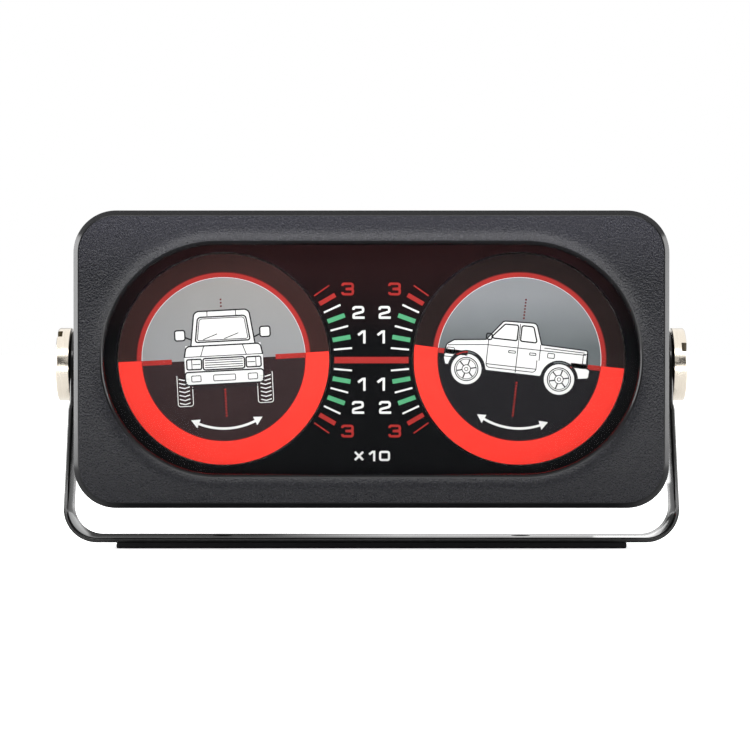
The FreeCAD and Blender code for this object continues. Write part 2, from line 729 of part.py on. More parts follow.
def rear_bridge():
    """Round-ended bar across the two posts that carries the roll spindle's rear bush."""
    body = new_body("rear_bridge")
    seat(body, f"-{dial_x}", bridge_y, case_mid_z)
    sketch = new_sketch(body, "XZ_Plane")
    bar = "(2 * bridge_post_radius + 2 * bridge_bar_margin)"
    stadium(sketch, f"(bridge_post_spacing + {bar})", bar, upright=True)
    circle(sketch, "0", "0", "bush_radius + seat_clearance")
    for side in ("-", ""):
        circle(sketch, "0", f"{side}bridge_post_spacing / 2", "bridge_screw_radius + screw_clearance")
    extrude(body, sketch, "bridge_thickness", reverse=True)
    keep(body, "rear_bridge")


def bridge_screws():
    items = []
    for side in ("-", "+"):
        screw = cross_screw("bridge_screw", "bridge_screw_radius",
                            "(bridge_thickness + bridge_screw_grip - screw_tip_gap)",
                            "bridge_screw_head_radius", "bridge_screw_head_height")
        seat(screw, f"-{dial_x}", bridge_back_y, f"{case_mid_z} {side} bridge_post_spacing / 2", turns["+Y"])
        items.append(screw)
    group("bridge_screws", items)


def dial(label, x):
    disc = rod(label, disc_radius, "disc_thickness")
    seat(disc, x, disc_y, case_mid_z, turns["+Y"])
    keep(disc, label)


def dial_hub(label, x):
    hub = ring(label, "spindle_radius + seat_clearance", "hub_radius", "hub_length")
    seat(hub, x, hub_y, case_mid_z, turns["+Y"])
    keep(hub, label)


def half_moon(name, plane, radius, thickness, offset, hub_length, reverse):
    """A round hub with a half disc hanging below its axis, along the plane's normal."""
    body = new_body(name)
    sign = "-" if reverse else ""
    hub = new_sketch(body, plane)
    circle(hub, "0", "0", "weight_hub_radius")
    extrude(body, hub, hub_length, reverse=reverse)
    half = new_sketch(body, plane, f"{sign}({offset})")
    path(half, [
        (f"-{radius}", "0", "0", "0", radius),
        ("0", f"-{radius}", "0", "0", radius),
        (radius, "0"),
    ])
    extrude(body, half, thickness, reverse=reverse)
    bore = new_sketch(body, plane)
    circle(bore, "0", "0", "spindle_radius + seat_clearance")
    extrude(body, bore, hub_length, "Pocket", reverse=not reverse)
    return body


def roll_movement():
    """Dial, hub, spindle and half-moon weight, turning about Y behind the left window."""
    dial("roll_dial", f"-{dial_x}")
    dial_hub("roll_hub", f"-{dial_x}")
    spindle = rod("roll_spindle", "spindle_radius",
                  f"{bridge_back_y} + bush_flange_thickness + spindle_overhang - {hub_y}")
    seat(spindle, f"-{dial_x}", hub_y, case_mid_z, turns["+Y"])
    keep(spindle, "roll_spindle")
    hub_length = f"({bridge_y} - thrust_gap - {thrust_y})"
    weight = half_moon("roll_weight", "XZ_Plane", "roll_weight_radius", "roll_weight_thickness",
                       "roll_weight_inset", hub_length, True)
    seat(weight, f"-{dial_x}", thrust_y, case_mid_z)
    keep(weight, "roll_weight")


def mitre_gear(label, hub_length, phase, x, y, z, turn):
    """Straight mitre gear: its own origin is the shared apex, its axis +Z, teeth tapering to the apex."""
    pitch = value("gear_pitch_radius")
    module = 2 * pitch / gear_teeth
    step = 2 * math.pi / gear_teeth
    tip, root = pitch + gear_addendum * module, pitch - gear_dedendum * module
    corners_of_tooth = [(root, -gear_root_share / 2), (tip, -gear_tip_share / 2),
                        (tip, gear_tip_share / 2), (root, gear_root_share / 2)]
    taper = (pitch - value("gear_face")) / pitch

    def outline(scale):
        spots = []
        for tooth in range(gear_teeth):
            for radius, share in corners_of_tooth:
                angle = (tooth + phase + share) * step
                spots.append(vec(radius * math.cos(angle), radius * math.sin(angle), pitch) * scale)
        return Part.makePolygon(spots + spots[:1])

    teeth = Part.makeLoft([outline(1), outline(taper)], True, True)
    hub = Part.makeCylinder(value("gear_hub_radius"), value(hub_length), vec(0, 0, pitch))
    bore = Part.makeCylinder(value("spindle_radius + seat_clearance"), pitch + value(hub_length))
    gear = doc.addObject("Part::Feature", label)
    gear.Shape = teeth.fuse(hub).cut(bore).removeSplitter()
    seat(gear, x, y, z, turn)
    keep(gear, label)


def pitch_movement():
    """Dial on a short Y spindle, driven by mitre gears from a pendulum on an X spindle."""
    dial("pitch_dial", dial_x)
    dial_hub("pitch_hub", dial_x)
    small_end_y = f"({pendulum_y} - gear_pitch_radius + gear_face)"
    spindle = rod("pitch_spindle", "spindle_radius", f"{small_end_y} - {hub_y}")
    seat(spindle, dial_x, hub_y, case_mid_z, turns["+Y"])
    keep(spindle, "pitch_spindle")
    mitre_gear("pitch_gear", f"({pendulum_y} - gear_pitch_radius - {thrust_y})", 0,
               dial_x, pendulum_y, case_mid_z, turns["-Y"])
    mitre_gear("pendulum_gear", f"({dial_x} - gear_pitch_radius - {cheek_in_x} - thrust_gap)", 0.5,
               dial_x, pendulum_y, case_mid_z, turns["-X"])
    overhang = "(bush_flange_thickness + spindle_overhang)"
    cross = rod("pendulum_spindle", "spindle_radius", f"cheek_span + 2 * {overhang}")
    seat(cross, f"{dial_x} - cheek_span / 2 - {overhang}", pendulum_y, case_mid_z, turns["+X"])
    keep(cross, "pendulum_spindle")
    start_x = f"({dial_x} + gear_pitch_radius)"
    weight = half_moon("pendulum_weight", "YZ_Plane", pendulum_radius, "pendulum_thickness",
                       "pendulum_offset - gear_pitch_radius - pendulum_thickness / 2",
                       f"({cheek_out_x} - thrust_gap - {start_x})", False)
    seat(weight, start_x, pendulum_y, case_mid_z)
    keep(weight, "pendulum_weight")


# ---- light ----

def backlight():
    """Board behind the frame's lamp window, lamps on its front, wire socket on its back."""
    body = new_body("backlight_board")
    seat(body, y=frame_back_y, z=case_mid_z)
    sketch = new_sketch(body, "XZ_Plane")
    rectangle(sketch, "-board_width / 2", "-board_height / 2", "board_width / 2", "board_height / 2")
    for side in ("-", ""):
        circle(sketch, "0", f"{side}board_screw_spacing / 2", "board_screw_radius + screw_clearance")
    extrude(body, sketch, "board_thickness", reverse=True)
    keep(body, "backlight_board")

    lamps = []
    for index in range(lamp_count):
        lamp = block("lamp", "lamp_width", "lamp_thickness", "lamp_height")
        rise = index - (lamp_count - 1) / 2
        seat(lamp, "-lamp_width / 2", f"{frame_back_y} - lamp_thickness",
             f"{case_mid_z} + {rise} * lamp_pitch - lamp_height / 2")
        lamps.append(lamp)
    group("backlight_lamps", lamps)

    board_back_y = f"({frame_back_y} + board_thickness)"
    socket = block("wire_socket", "socket_width", "socket_depth", "socket_height")
    seat(socket, "-socket_width / 2", board_back_y, f"{case_mid_z} - socket_height / 2 - lamp_pitch")
    keep(socket, "wire_socket")

    items = []
    for side in ("-", "+"):
        screw = cross_screw("board_screw", "board_screw_radius",
                            "(board_thickness + frame_thickness - screw_tip_gap)",
                            "board_screw_head_radius", "board_screw_head_height")
        seat(screw, "0", board_back_y, f"{case_mid_z} {side} board_screw_spacing / 2", turns["+Y"])
        items.append(screw)
    group("board_screws", items)


# ---- pivot ----

def pivot_side(side, sign, turn, slot_angle):
    """Threaded insert, friction washer, spring washer and coin-slot knob of one side.

    The spring washer sits in a recess under the knob's head.
    """
    insert = ring(side + "_insert", "stud_radius + running_clearance", "insert_radius", "insert_length")
    seat(insert, f"{sign}(case_width / 2 - insert_length)", "0", pivot_z, turns[turn])
    keep(insert, side + "_insert")

    loose_bore = "stud_radius + 2 * running_clearance"
    pad = ring(side + "_friction_washer", loose_bore, "friction_washer_radius", "friction_washer_thickness")
    seat(pad, f"{sign}case_width / 2", "0", pivot_z, turns[turn])
    keep(pad, side + "_friction_washer")

    spring = ring(side + "_spring_washer", loose_bore, "spring_washer_radius", "spring_washer_thickness")
    seat(spring, f"{sign}{spring_x}", "0", pivot_z, turns[turn])
    keep(spring, side + "_spring_washer")

    stud = f"({knob_x} - case_width / 2 + insert_length - stud_end_gap)"
    recess_radius = "(spring_washer_radius + knob_recess_clearance)"
    rim = "(knob_radius - knob_edge)"
    rim_top = "(knob_thickness - knob_dome)"
    dome_radius = f"(({rim} * {rim} + knob_dome * knob_dome) / (2 * knob_dome))"
    body = turned(side + "_knob", [
        ("0", f"-{stud}"), ("stud_radius - stud_chamfer", f"-{stud}"),
        ("stud_radius", f"-{stud} + stud_chamfer"), ("stud_radius", knob_recess_depth),
        (recess_radius, knob_recess_depth), (recess_radius, "0"),
        ("knob_radius - knob_seat_edge", "0"), ("knob_radius", "knob_seat_edge"),
        ("knob_radius", f"{rim_top} - knob_edge"),
        (rim, rim_top, "0", f"knob_thickness - {dome_radius}", dome_radius),
        ("0", "knob_thickness"),
    ])
    slot = new_sketch(body, "XY_Plane", "knob_thickness")
    rectangle(slot, "-knob_radius", "-knob_slot_width / 2", "knob_radius", "knob_slot_width / 2")
    slot.setExpression("AttachmentOffset.Rotation.Angle", linked(slot_angle))
    extrude(body, slot, "knob_slot_depth", "Pocket")
    seat(body, f"{sign}{knob_x}", "0", pivot_z, turns[turn])
    keep(body, side + "_knob")


mounting_bracket()
adhesive_pad()
front_bezel()
rear_housing()
case_screws()
cable_grommet()
lens()
lens_gasket()
scale_plate()
light_guide()
movement_frame()
bushes()
rear_bridge()
bridge_screws()
roll_movement()
pitch_movement()
backlight()
pivot_side("left", "-", "-X", "left_slot_angle - 90")
pivot_side("right", "", "+X", "90 - right_slot_angle")

doc.recompute()
for item in doc.Objects:
    if "Invalid" in item.State or "Error" in item.State:
        raise ValueError(f"{item.Label} did not compute: {item.State}")
for item in made:
    if item.Shape.isNull() or not item.Shape.isValid():
        raise ValueError(f"{item.Label} has no valid shape")

os.makedirs("parts", exist_ok=True)
for item in made:
    item.Shape.exportStep(os.path.join("parts", item.Label + ".step"))
    print(f"{item.Label}: {len(item.Shape.Solids)} solid(s), {item.Shape.Volume:.1f} mm3")
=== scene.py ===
import bmesh
import bpy
import numpy as np
from math import asin, atan2, cos, degrees, hypot, pi, radians, sin, tan
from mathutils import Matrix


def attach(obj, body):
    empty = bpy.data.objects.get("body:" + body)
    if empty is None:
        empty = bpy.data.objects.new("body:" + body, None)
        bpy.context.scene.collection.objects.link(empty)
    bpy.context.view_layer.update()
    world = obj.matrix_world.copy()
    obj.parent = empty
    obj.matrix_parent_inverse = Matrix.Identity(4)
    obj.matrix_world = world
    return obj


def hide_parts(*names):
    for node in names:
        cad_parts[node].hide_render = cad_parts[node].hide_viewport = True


# Twin-dial inclinometer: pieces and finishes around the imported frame.
# Lengths are in millimetres until a mesh is made; the reader looks along +Y.

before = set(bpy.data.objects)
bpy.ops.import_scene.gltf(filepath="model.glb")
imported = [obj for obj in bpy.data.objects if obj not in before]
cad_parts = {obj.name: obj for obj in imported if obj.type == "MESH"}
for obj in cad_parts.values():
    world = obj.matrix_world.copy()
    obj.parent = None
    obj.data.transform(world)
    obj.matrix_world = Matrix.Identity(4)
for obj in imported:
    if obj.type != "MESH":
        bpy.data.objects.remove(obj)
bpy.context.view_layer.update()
mm = 0.001
caseMidZ = 45.2
print("frame loaded:", len(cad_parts), "nodes")


def placeObject(name, data):
    # an object at the origin, in the scene
    thing = bpy.data.objects.new(name, data)
    bpy.context.scene.collection.objects.link(thing)
    return thing


# camera at the reader's place, a little above the middle of the case

viewer = {
    "x": 0.84,
    "y": -669.0,
    "z": 47.4,
    "lookDown": 0.517,
    "lens": 133.0,
}
camera = placeObject("camera", bpy.data.cameras.new("camera"))
camera.data.lens = viewer["lens"]
camera.data.sensor_width = 36.0
camera.data.clip_start = 0.01
camera.location = (viewer["x"] * mm, viewer["y"] * mm, viewer["z"] * mm)
camera.rotation_euler = (radians(90 - viewer["lookDown"]), 0, 0)
bpy.context.scene.camera = camera
bpy.context.scene.view_settings.view_transform = "Standard"
bpy.context.scene.view_settings.look = "None"


# finishes

def tone(colour):
    # screen colour, 0 to 255, as linear light
    part = np.array(colour) / 255
    linear = np.where(part <= 0.04045, part / 12.92, ((part + 0.055) / 1.055) ** 2.4)
    return tuple(linear) + (1.0,)


def addNode(material, kind, **sockets):
    # a shader node of one kind, with the values of its sockets by name
    node = material.node_tree.nodes.new("ShaderNode" + kind)
    for name, value in sockets.items():
        node.inputs[name].default_value = value
    return node


def stepNode(material, source, start, end, low, high):
    # a value that goes evenly from low to high while the source goes from start to end
    node = addNode(material, "MapRange")
    ends = {"From Min": start, "From Max": end, "To Min": low, "To Max": high}
    for name, value in ends.items():
        node.inputs[name].default_value = value
    material.node_tree.links.new(source, node.inputs["Value"])
    return node.outputs["Result"]


def mixNode(material, factor, low, high):
    # a colour that goes from low to high as the factor goes from 0 to 1; low and high are
    # tones or what other nodes give
    node = material.node_tree.nodes.new("ShaderNodeMix")
    node.data_type = "RGBA"
    material.node_tree.links.new(factor, node.inputs["Factor"])
    for name, colour in (("A", low), ("B", high)):
        if isinstance(colour, tuple):
            node.inputs[name].default_value = tone(colour)
        else:
            material.node_tree.links.new(colour, node.inputs[name])
    return node.outputs["Result"]


shaderSockets = {
    "shine": "Specular IOR Level",
    "metal": "Metallic",
    "alpha": "Alpha",
    "refraction": "IOR",
    "glowColour": "Emission Color",
}


def makeFinish(name, dark, light, patch, rough, grain, depth, pores=False, stretch=(1, 1, 1),
               fade=None, **fixed):
    # Two tones mixed by soft noise, a roughness that follows the same noise, and fine noise
    # or pores as relief. patch, grain and depth are in millimetres. A second pair of tones can
    # come in between two heights, as light and shade painted by height. The rest is set on the
    # shader itself.
    material = bpy.data.materials.new(name)
    material.use_nodes = True
    links = material.node_tree.links
    shader = material.node_tree.nodes["Principled BSDF"]
    place = addNode(material, "TexCoord").outputs["Object"]
    mapping = addNode(material, "Mapping", Scale=stretch)
    links.new(place, mapping.inputs["Vector"])
    patches = addNode(material, "TexNoise", Scale=1 / (patch * mm), Detail=5.0, Roughness=0.6)
    links.new(mapping.outputs["Vector"], patches.inputs["Vector"])
    noise = patches.outputs["Fac"]
    colour = mixNode(material, noise, dark, light)
    if fade:
        low, high, upperDark, upperLight = fade
        split = addNode(material, "SeparateXYZ")
        links.new(place, split.inputs["Vector"])
        height = stepNode(material, split.outputs["Z"], low * mm, high * mm, 0.0, 1.0)
        # the upper tones are painted light and shade that come in with height
        upper = mixNode(material, noise, upperDark, upperLight)
        colour = mixNode(material, height, colour, upper)
    links.new(colour, shader.inputs["Base Color"])
    links.new(stepNode(material, noise, 0.3, 0.7, *rough), shader.inputs["Roughness"])
    if pores:
        relief = addNode(material, "TexVoronoi", Scale=1 / (grain * mm))
        level = relief.outputs["Distance"]
    else:
        relief = addNode(material, "TexNoise", Scale=1 / (grain * mm), Detail=3.0, Roughness=0.55)
        level = relief.outputs["Fac"]
    links.new(mapping.outputs["Vector"], relief.inputs["Vector"])
    bump = addNode(material, "Bump", Distance=depth * mm, Strength=1.0)
    links.new(level, bump.inputs["Height"])
    links.new(bump.outputs["Normal"], shader.inputs["Normal"])
    for key, value in fixed.items():
        shader.inputs[shaderSockets[key]].default_value = value
    return material


def look(dark, light, patch, rough, grain, depth, **more):
    # a finish's values in their order: two tones, the width of patches, the least and the most
    # roughness, and the relief's grain and depth
    return dict(dark=dark, light=light, patch=patch, rough=rough, grain=grain, depth=depth, **more)


def inkLook(dark, light, patch=3, shine=0.2, grain=0.3, **more):
    # printed ink: even, dull and nearly without relief
    return look(dark, light, patch, (0.5, 0.6), grain, 0.002, shine=shine, **more)


finishes = {
    "grainedPlastic": look((3, 3, 7), (24, 26, 34), 0.5, (0.2, 0.3), 0.42, 0.13, shine=0.33),
    # the bezel's plastic; its upper tones, from about 64 mm up, are a painted sheen that lightens
    # the top of the face
    "frontPlastic": look((1, 1, 4), (14, 15, 23), 0.5, (0.2, 0.3), 0.42, 0.12, shine=0.35,
                         fade=(64, 78, (14, 14, 18), (46, 46, 54))),
    "polishedPlastic": look((8, 8, 10), (14, 14, 16), 4, (0.16, 0.22), 0.5, 0.002, shine=0.22),
    "coatedSteel": look((14, 14, 14), (20, 20, 20), 9, (0.09, 0.15), 1.6, 0.002),
    "warmNickel": look((214, 204, 188), (232, 224, 211), 1.2, (0.14, 0.22), 0.8, 0.006,
                       stretch=(4, 0.2, 0.2), metal=1.0),
    # rougher and darker nickel for the knobs' slot walls; the darker colour is painted shade
    "roughNickelSlotShade": look((96, 86, 66), (116, 106, 84), 1.2, (0.35, 0.45), 0.8, 0.004, metal=1.0),
    "tapeFoam": look((10, 10, 11), (20, 20, 21), 2, (0.85, 0.95), 0.35, 0.06, pores=True,
                     shine=0.2),
    "clearSheet": look((20, 20, 22), (26, 26, 28), 30, (0.02, 0.03), 20, 0.0004, alpha=0.06,
                       refraction=1.49, shine=0.3),
    # the scale plate: near black, with a painted reddish reflection that comes in towards its top
    "scaleInk": inkLook((3, 4, 5), (6, 7, 9), 5, 0.05, 0.5,
                        fade=(50, 75, (34, 11, 12), (40, 15, 16))),
    "dialBlack": inkLook((48, 30, 28), (56, 35, 33), 4, 0.05),
    # the pitch dial's black is a darker copy of the roll dial's: painted shade
    "shadedDialBlack": inkLook((30, 22, 21), (38, 27, 26), 4, 0.05),
    # the roll dial's sky; its upper part is toned warmer as painted light
    "skyInk": inkLook((135, 136, 137), (143, 144, 145), 5,
                      fade=(50, 64, (138, 136, 134), (146, 144, 142))),
    # the pitch dial's sky: a darker copy of the sky ink as painted shade, lighter towards the top
    # as painted light
    "shadedSkyInk": inkLook((88, 94, 96), (96, 102, 104), 5,
                            fade=(48, 60, (126, 129, 132), (134, 137, 140))),
    "groundInk": inkLook((42, 30, 31), (50, 36, 37), 4, 0.08),
    # the pitch dial's ground: a darker copy of the ground ink, painted shade
    "shadedGroundInk": inkLook((19, 18, 21), (27, 26, 29), 4, 0.08),
    "redInk": inkLook((244, 46, 34), (255, 58, 44), 4),
    "dullRedInk": inkLook((150, 32, 28), (168, 40, 34)),
    # dark red: painted shadow lines along the red ring's edges, and real printed dots
    "paintedShadowAndDotInk": inkLook((84, 12, 12), (98, 18, 16)),
    "whiteInk": inkLook((222, 223, 222), (236, 236, 234)),
    "lineInk": inkLook((20, 20, 23), (30, 30, 33), 2),
    "greenInk": inkLook((70, 152, 106), (86, 170, 122)),
    "matRubber": look((16, 16, 17), (25, 25, 26), 3, (0.6, 0.75), 0.3, 0.01),
    "guideAcrylic": look((70, 74, 77), (84, 88, 90), 20, (0.1, 0.2), 4, 0.002, alpha=0.25,
                         refraction=1.49),
    "frameNylon": look((188, 186, 180), (206, 204, 198), 5, (0.4, 0.55), 0.5, 0.01),
    "gearNylon": look((222, 220, 212), (236, 234, 228), 3, (0.35, 0.45), 0.4, 0.005),
    "hubPlastic": look((30, 30, 32), (42, 42, 44), 3, (0.4, 0.5), 0.4, 0.005),
    "brass": look((178, 138, 70), (206, 168, 98), 3, (0.2, 0.34), 0.25, 0.003, metal=1.0),
    "groundSteel": look((150, 152, 156), (184, 186, 190), 2, (0.18, 0.3), 0.2, 0.002, metal=1.0),
    "springSteel": look((92, 92, 96), (124, 124, 130), 2, (0.25, 0.36), 0.2, 0.002, metal=1.0),
    "boardGreen": look((16, 74, 44), (26, 96, 58), 1.4, (0.3, 0.45), 0.6, 0.01),
    "lampYellow": look((222, 196, 84), (240, 216, 110), 1, (0.2, 0.3), 0.4, 0.003),
    "socketWhite": look((214, 212, 202), (230, 228, 220), 2, (0.4, 0.5), 0.4, 0.004),
    "washerNylon": look((22, 22, 23), (34, 34, 35), 2, (0.45, 0.55), 0.3, 0.004),
}
finish = {name: makeFinish(name, **values) for name, values in finishes.items()}

finishNodes = {
    "coatedSteel": ["mounting_bracket"],
    "tapeFoam": ["adhesive_pad"],
    "grainedPlastic": ["front_bezel", "rear_housing"],
    "matRubber": ["cable_grommet", "lens_gasket"],
    "clearSheet": ["lens"],
    "scaleInk": ["scale_plate"],
    "guideAcrylic": ["light_guide"],
    "dialBlack": ["roll_dial"],
    # the pitch dial's card takes the darker black: painted shade
    "shadedDialBlack": ["pitch_dial"],
    "frameNylon": ["movement_frame", "rear_bridge"],
    "gearNylon": ["pitch_gear", "pendulum_gear"],
    "hubPlastic": ["roll_hub", "pitch_hub"],
    "brass": ["roll_front_bush", "roll_rear_bush", "pitch_dial_bush", "pendulum_inner_bush",
              "pendulum_outer_bush", "roll_weight", "pendulum_weight", "left_insert",
              "right_insert"],
    "groundSteel": ["roll_spindle", "pitch_spindle", "pendulum_spindle"],
    "springSteel": ["case_screws", "bridge_screws", "board_screws", "left_spring_washer",
                    "right_spring_washer"],
    "boardGreen": ["backlight_board"],
    "lampYellow": ["backlight_lamps"],
    "socketWhite": ["wire_socket"],
    "washerNylon": ["left_friction_washer", "right_friction_washer"],
    "warmNickel": ["left_knob", "right_knob"],
}
nodeFinish = {node: name for name, nodes in finishNodes.items() for node in nodes}
for nodeName, finishName in nodeFinish.items():
    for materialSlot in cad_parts[nodeName].material_slots:
        materialSlot.material = finish[finishName]
print("finishes made:", len(finish))


# shared shapes

def gridFaces(rows, columns, aroundRows=False, aroundColumns=False):
    # each cell of a grid of points gives a quad of its four corner numbers,
    # and a direction that goes around joins its last line to its first
    r, c = np.meshgrid(np.arange(rows - (not aroundRows)),
                       np.arange(columns - (not aroundColumns)), indexing="ij")
    r2, c2 = (r + 1) % rows, (c + 1) % columns
    cells = [r * columns + c, r * columns + c2, r2 * columns + c2, r2 * columns + c]
    return np.stack(cells, axis=-1).reshape(-1, 4).tolist()


def unit(vectors):
    # each vector over its own length
    return vectors / np.maximum(np.linalg.norm(vectors, axis=-1, keepdims=True), 1e-12)


def softLine(corners, radii, closed=False, steps=6):
    # every corner of a line of straight legs becomes an arc of its radius that touches both
    # legs: its centre lies on the bisector, at the radius over the sine of the half angle
    spots = np.asarray(corners, float)
    count = len(spots)
    radii = np.broadcast_to(np.asarray(radii, float), (count,))
    line = []
    for index in range(count):
        spot, radius = spots[index], radii[index]
        if radius <= 0 or (not closed and index in (0, count - 1)):
            line.append(spot[None])
            continue
        legs = unit(np.stack([spots[index - 1], spots[(index + 1) % count]]) - spot)
        half = np.arccos(np.clip(legs[0] @ legs[1], -1, 1)) / 2
        if half > pi / 2 - 1e-3:
            line.append(spot[None])
            continue
        centre = spot + unit(legs.sum(0)) * radius / sin(half)
        ends = spot + legs * radius / tan(half) - centre
        sweep = pi - 2 * half
        share = np.linspace(0, 1, steps + 1)[:, None]
        arc = np.sin((1 - share) * sweep) * ends[0] + np.sin(share * sweep) * ends[1]
        line.append(centre + arc / sin(sweep))
    return np.concatenate(line)


def meshOf(name, points, faces):
    # points in millimetres; doubles are merged and faces turned outwards
    mesh = bpy.data.meshes.new(name)
    mesh.from_pydata((np.asarray(points).reshape(-1, 3) * mm).tolist(), [], faces)
    work = bmesh.new()
    work.from_mesh(mesh)
    bmesh.ops.remove_doubles(work, verts=work.verts, dist=1e-7)
    bmesh.ops.dissolve_degenerate(work, edges=work.edges, dist=1e-8)
    bmesh.ops.recalc_face_normals(work, faces=work.faces)
    work.to_mesh(mesh)
    work.free()
    return mesh


def dressMesh(name, mesh, finishName, body, sharp):
    # a smooth piece with one finish, whose edges over the sharp angle stay sharp
    mesh.shade_smooth()
    mesh.set_sharp_from_angle(angle=radians(sharp))
    mesh.materials.clear()
    mesh.materials.append(finish[finishName])
    piece = placeObject(name, mesh)
    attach(piece, body)
    return piece


def makePiece(name, points, faces, finishName, body, sharp=30):
    # a new piece from points in millimetres and the corner numbers of its faces
    return dressMesh(name, meshOf(name, points, faces), finishName, body, sharp)


def applyModifiers(piece):
    # the shape that the modifiers give becomes the piece's own mesh
    result = piece.evaluated_get(bpy.context.evaluated_depsgraph_get())
    shape = bpy.data.meshes.new_from_object(result)
    piece.modifiers.clear()
    piece.data = shape


def smoothCopy(nodeName, name, body, sharp=30):
    # the frame's own shape with its triangles joined, so that round walls shade as round; each
    # normal is weighted by the area of the faces that meet there, so that flats shade as flat
    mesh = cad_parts[nodeName].data.copy()
    work = bmesh.new()
    work.from_mesh(mesh)
    bmesh.ops.remove_doubles(work, verts=work.verts, dist=2e-7)
    work.to_mesh(mesh)
    work.free()
    piece = dressMesh(name, mesh, nodeFinish[nodeName], body, sharp)
    weigh = piece.modifiers.new("weigh", "WEIGHTED_NORMAL")
    weigh.mode = "FACE_AREA"
    weigh.weight = 90
    weigh.keep_sharp = True
    applyModifiers(piece)
    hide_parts(nodeName)


def cutWith(piece, shapes, sharp, wallFinish=None):
    # each shape of points and faces is taken away from the piece, and the walls that it leaves
    # have the piece's finish or one of their own
    cutters = [placeObject("cutter", meshOf("cutter", *shape)) for shape in shapes]
    if wallFinish:
        piece.data.materials.append(finish[wallFinish])
        for cutter in cutters:
            for material in piece.data.materials:
                cutter.data.materials.append(material)
            walls = np.ones(len(cutter.data.polygons), np.int32)
            cutter.data.polygons.foreach_set("material_index", walls)
    for cutter in cutters:
        step = piece.modifiers.new("cut", "BOOLEAN")
        step.operation = "DIFFERENCE"
        step.solver = "EXACT"
        step.object = cutter
    applyModifiers(piece)
    piece.data.set_sharp_from_angle(angle=radians(sharp))
    for cutter in cutters:
        bpy.data.objects.remove(cutter)


def ringsWithEnds(points):
    # rings of points joined in their order, with the first and the last ring closed
    count, around = points.shape[:2]
    faces = gridFaces(count, around, aroundColumns=True)
    last = (count - 1) * around
    return points, faces + [list(range(around)), list(range(last, last + around))]


def drum(centre, axis, radius, reach, around=48):
    # circle of points about an axis, set at minus and plus the reach, with both ends closed
    turn = np.arange(around) * 2 * pi / around
    across = [i for i in range(3) if i != axis]
    points = np.zeros((2, around, 3))
    points[..., across[0]] = radius * np.cos(turn)
    points[..., across[1]] = radius * np.sin(turn)
    points[0, :, axis] = -reach
    points[1, :, axis] = reach
    return ringsWithEnds(points + np.asarray(centre, float))


# front bezel: a shell between a rounded rectangle and the stadium window

bezel = {
    "halfWidth": 70.0,
    "halfHeight": 35.0,
    "cornerRadius": 10.0,
    "frontY": -19.0,
    "splitY": -7.0,
    "chamfer": 1.2,
    "chamferSoftness": 0.25,
    "facetDrop": 0.12,
    "facetWidth": 0.31,
    "windowHalfWidth": 62.9,
    "windowHalfHeight": 26.9,
    "windowRounding": 1.4,
    "lipWidth": 3.4,
    "lipSlope": 18.0,
    "polishedFrom": 12.0,
    "windowPolishedFrom": 19.0,
    "faceRing": 1.9,
    "lipRings": 13,
    "backLand": 3.0,
    "caseShares": (0.5, 0.7),
    "windowShares": (0.3, 1.0),
    "faceThickness": 3.0,
    "wall": 2.5,
    "lapDepth": 2.0,
    "postX": 61.5,
    "postZ": 26.5,
    "postRadius": 3.0,
    "postEndY": -7.4,
    "pilotRadius": 1.43,
    "pilotDepth": 7.0,
}


def roundedLoop(halfWidth, halfHeight, radius, arcStart, arcEnd, steps=100):
    # a quarter runs along the top edge, round the corner's arc and down the side edge, and the
    # other three mirror it; the arc starts and ends at two shares of the quarter's points
    t = np.arange(steps + 1) / steps
    turn = np.clip((t - arcStart) / (arcEnd - arcStart), 0, 1) * pi / 2
    along = np.clip(t / arcStart, 0, 1)
    down = np.clip((t - arcEnd) / max(1 - arcEnd, 1e-9), 0, 1)
    x = (halfWidth - radius) * along + radius * np.sin(turn)
    z = (halfHeight - radius) * (1 - down) + radius * np.cos(turn)
    quarter = np.stack([x, z], 1)
    first, last = quarter[:-1], quarter[:0:-1]
    return np.concatenate([first, last * (1, -1), first * (-1, -1), last * (-1, 1)])


def bezelLoop(inset, y, family):
    # the outline drawn in by an inset, at a depth y: "case" is the outer rounded rectangle,
    # "window" the stadium, for which a negative inset makes it wider
    b = bezel
    if family == "case":
        radius = max(b["cornerRadius"] - inset, 0.2)
        flat = roundedLoop(b["halfWidth"] - inset, b["halfHeight"] - inset, radius,
                           *b["caseShares"])
    else:
        high = b["windowHalfHeight"] - inset
        flat = roundedLoop(b["windowHalfWidth"] - inset, high, high, *b["windowShares"])
    return np.stack([flat[:, 0], np.full(len(flat), y), flat[:, 1] + caseMidZ], 1)


def tubePoints(x, z, profile, around=32):
    # (radius, y) pairs of a profile turned about a line along Y through x and z
    turn = np.arange(around) * 2 * pi / around
    radius, y = np.asarray(profile, float).T
    return np.stack([
        x + radius[:, None] * np.cos(turn), np.repeat(y[:, None], around, 1),
        z + radius[:, None] * np.sin(turn),
    ], -1)


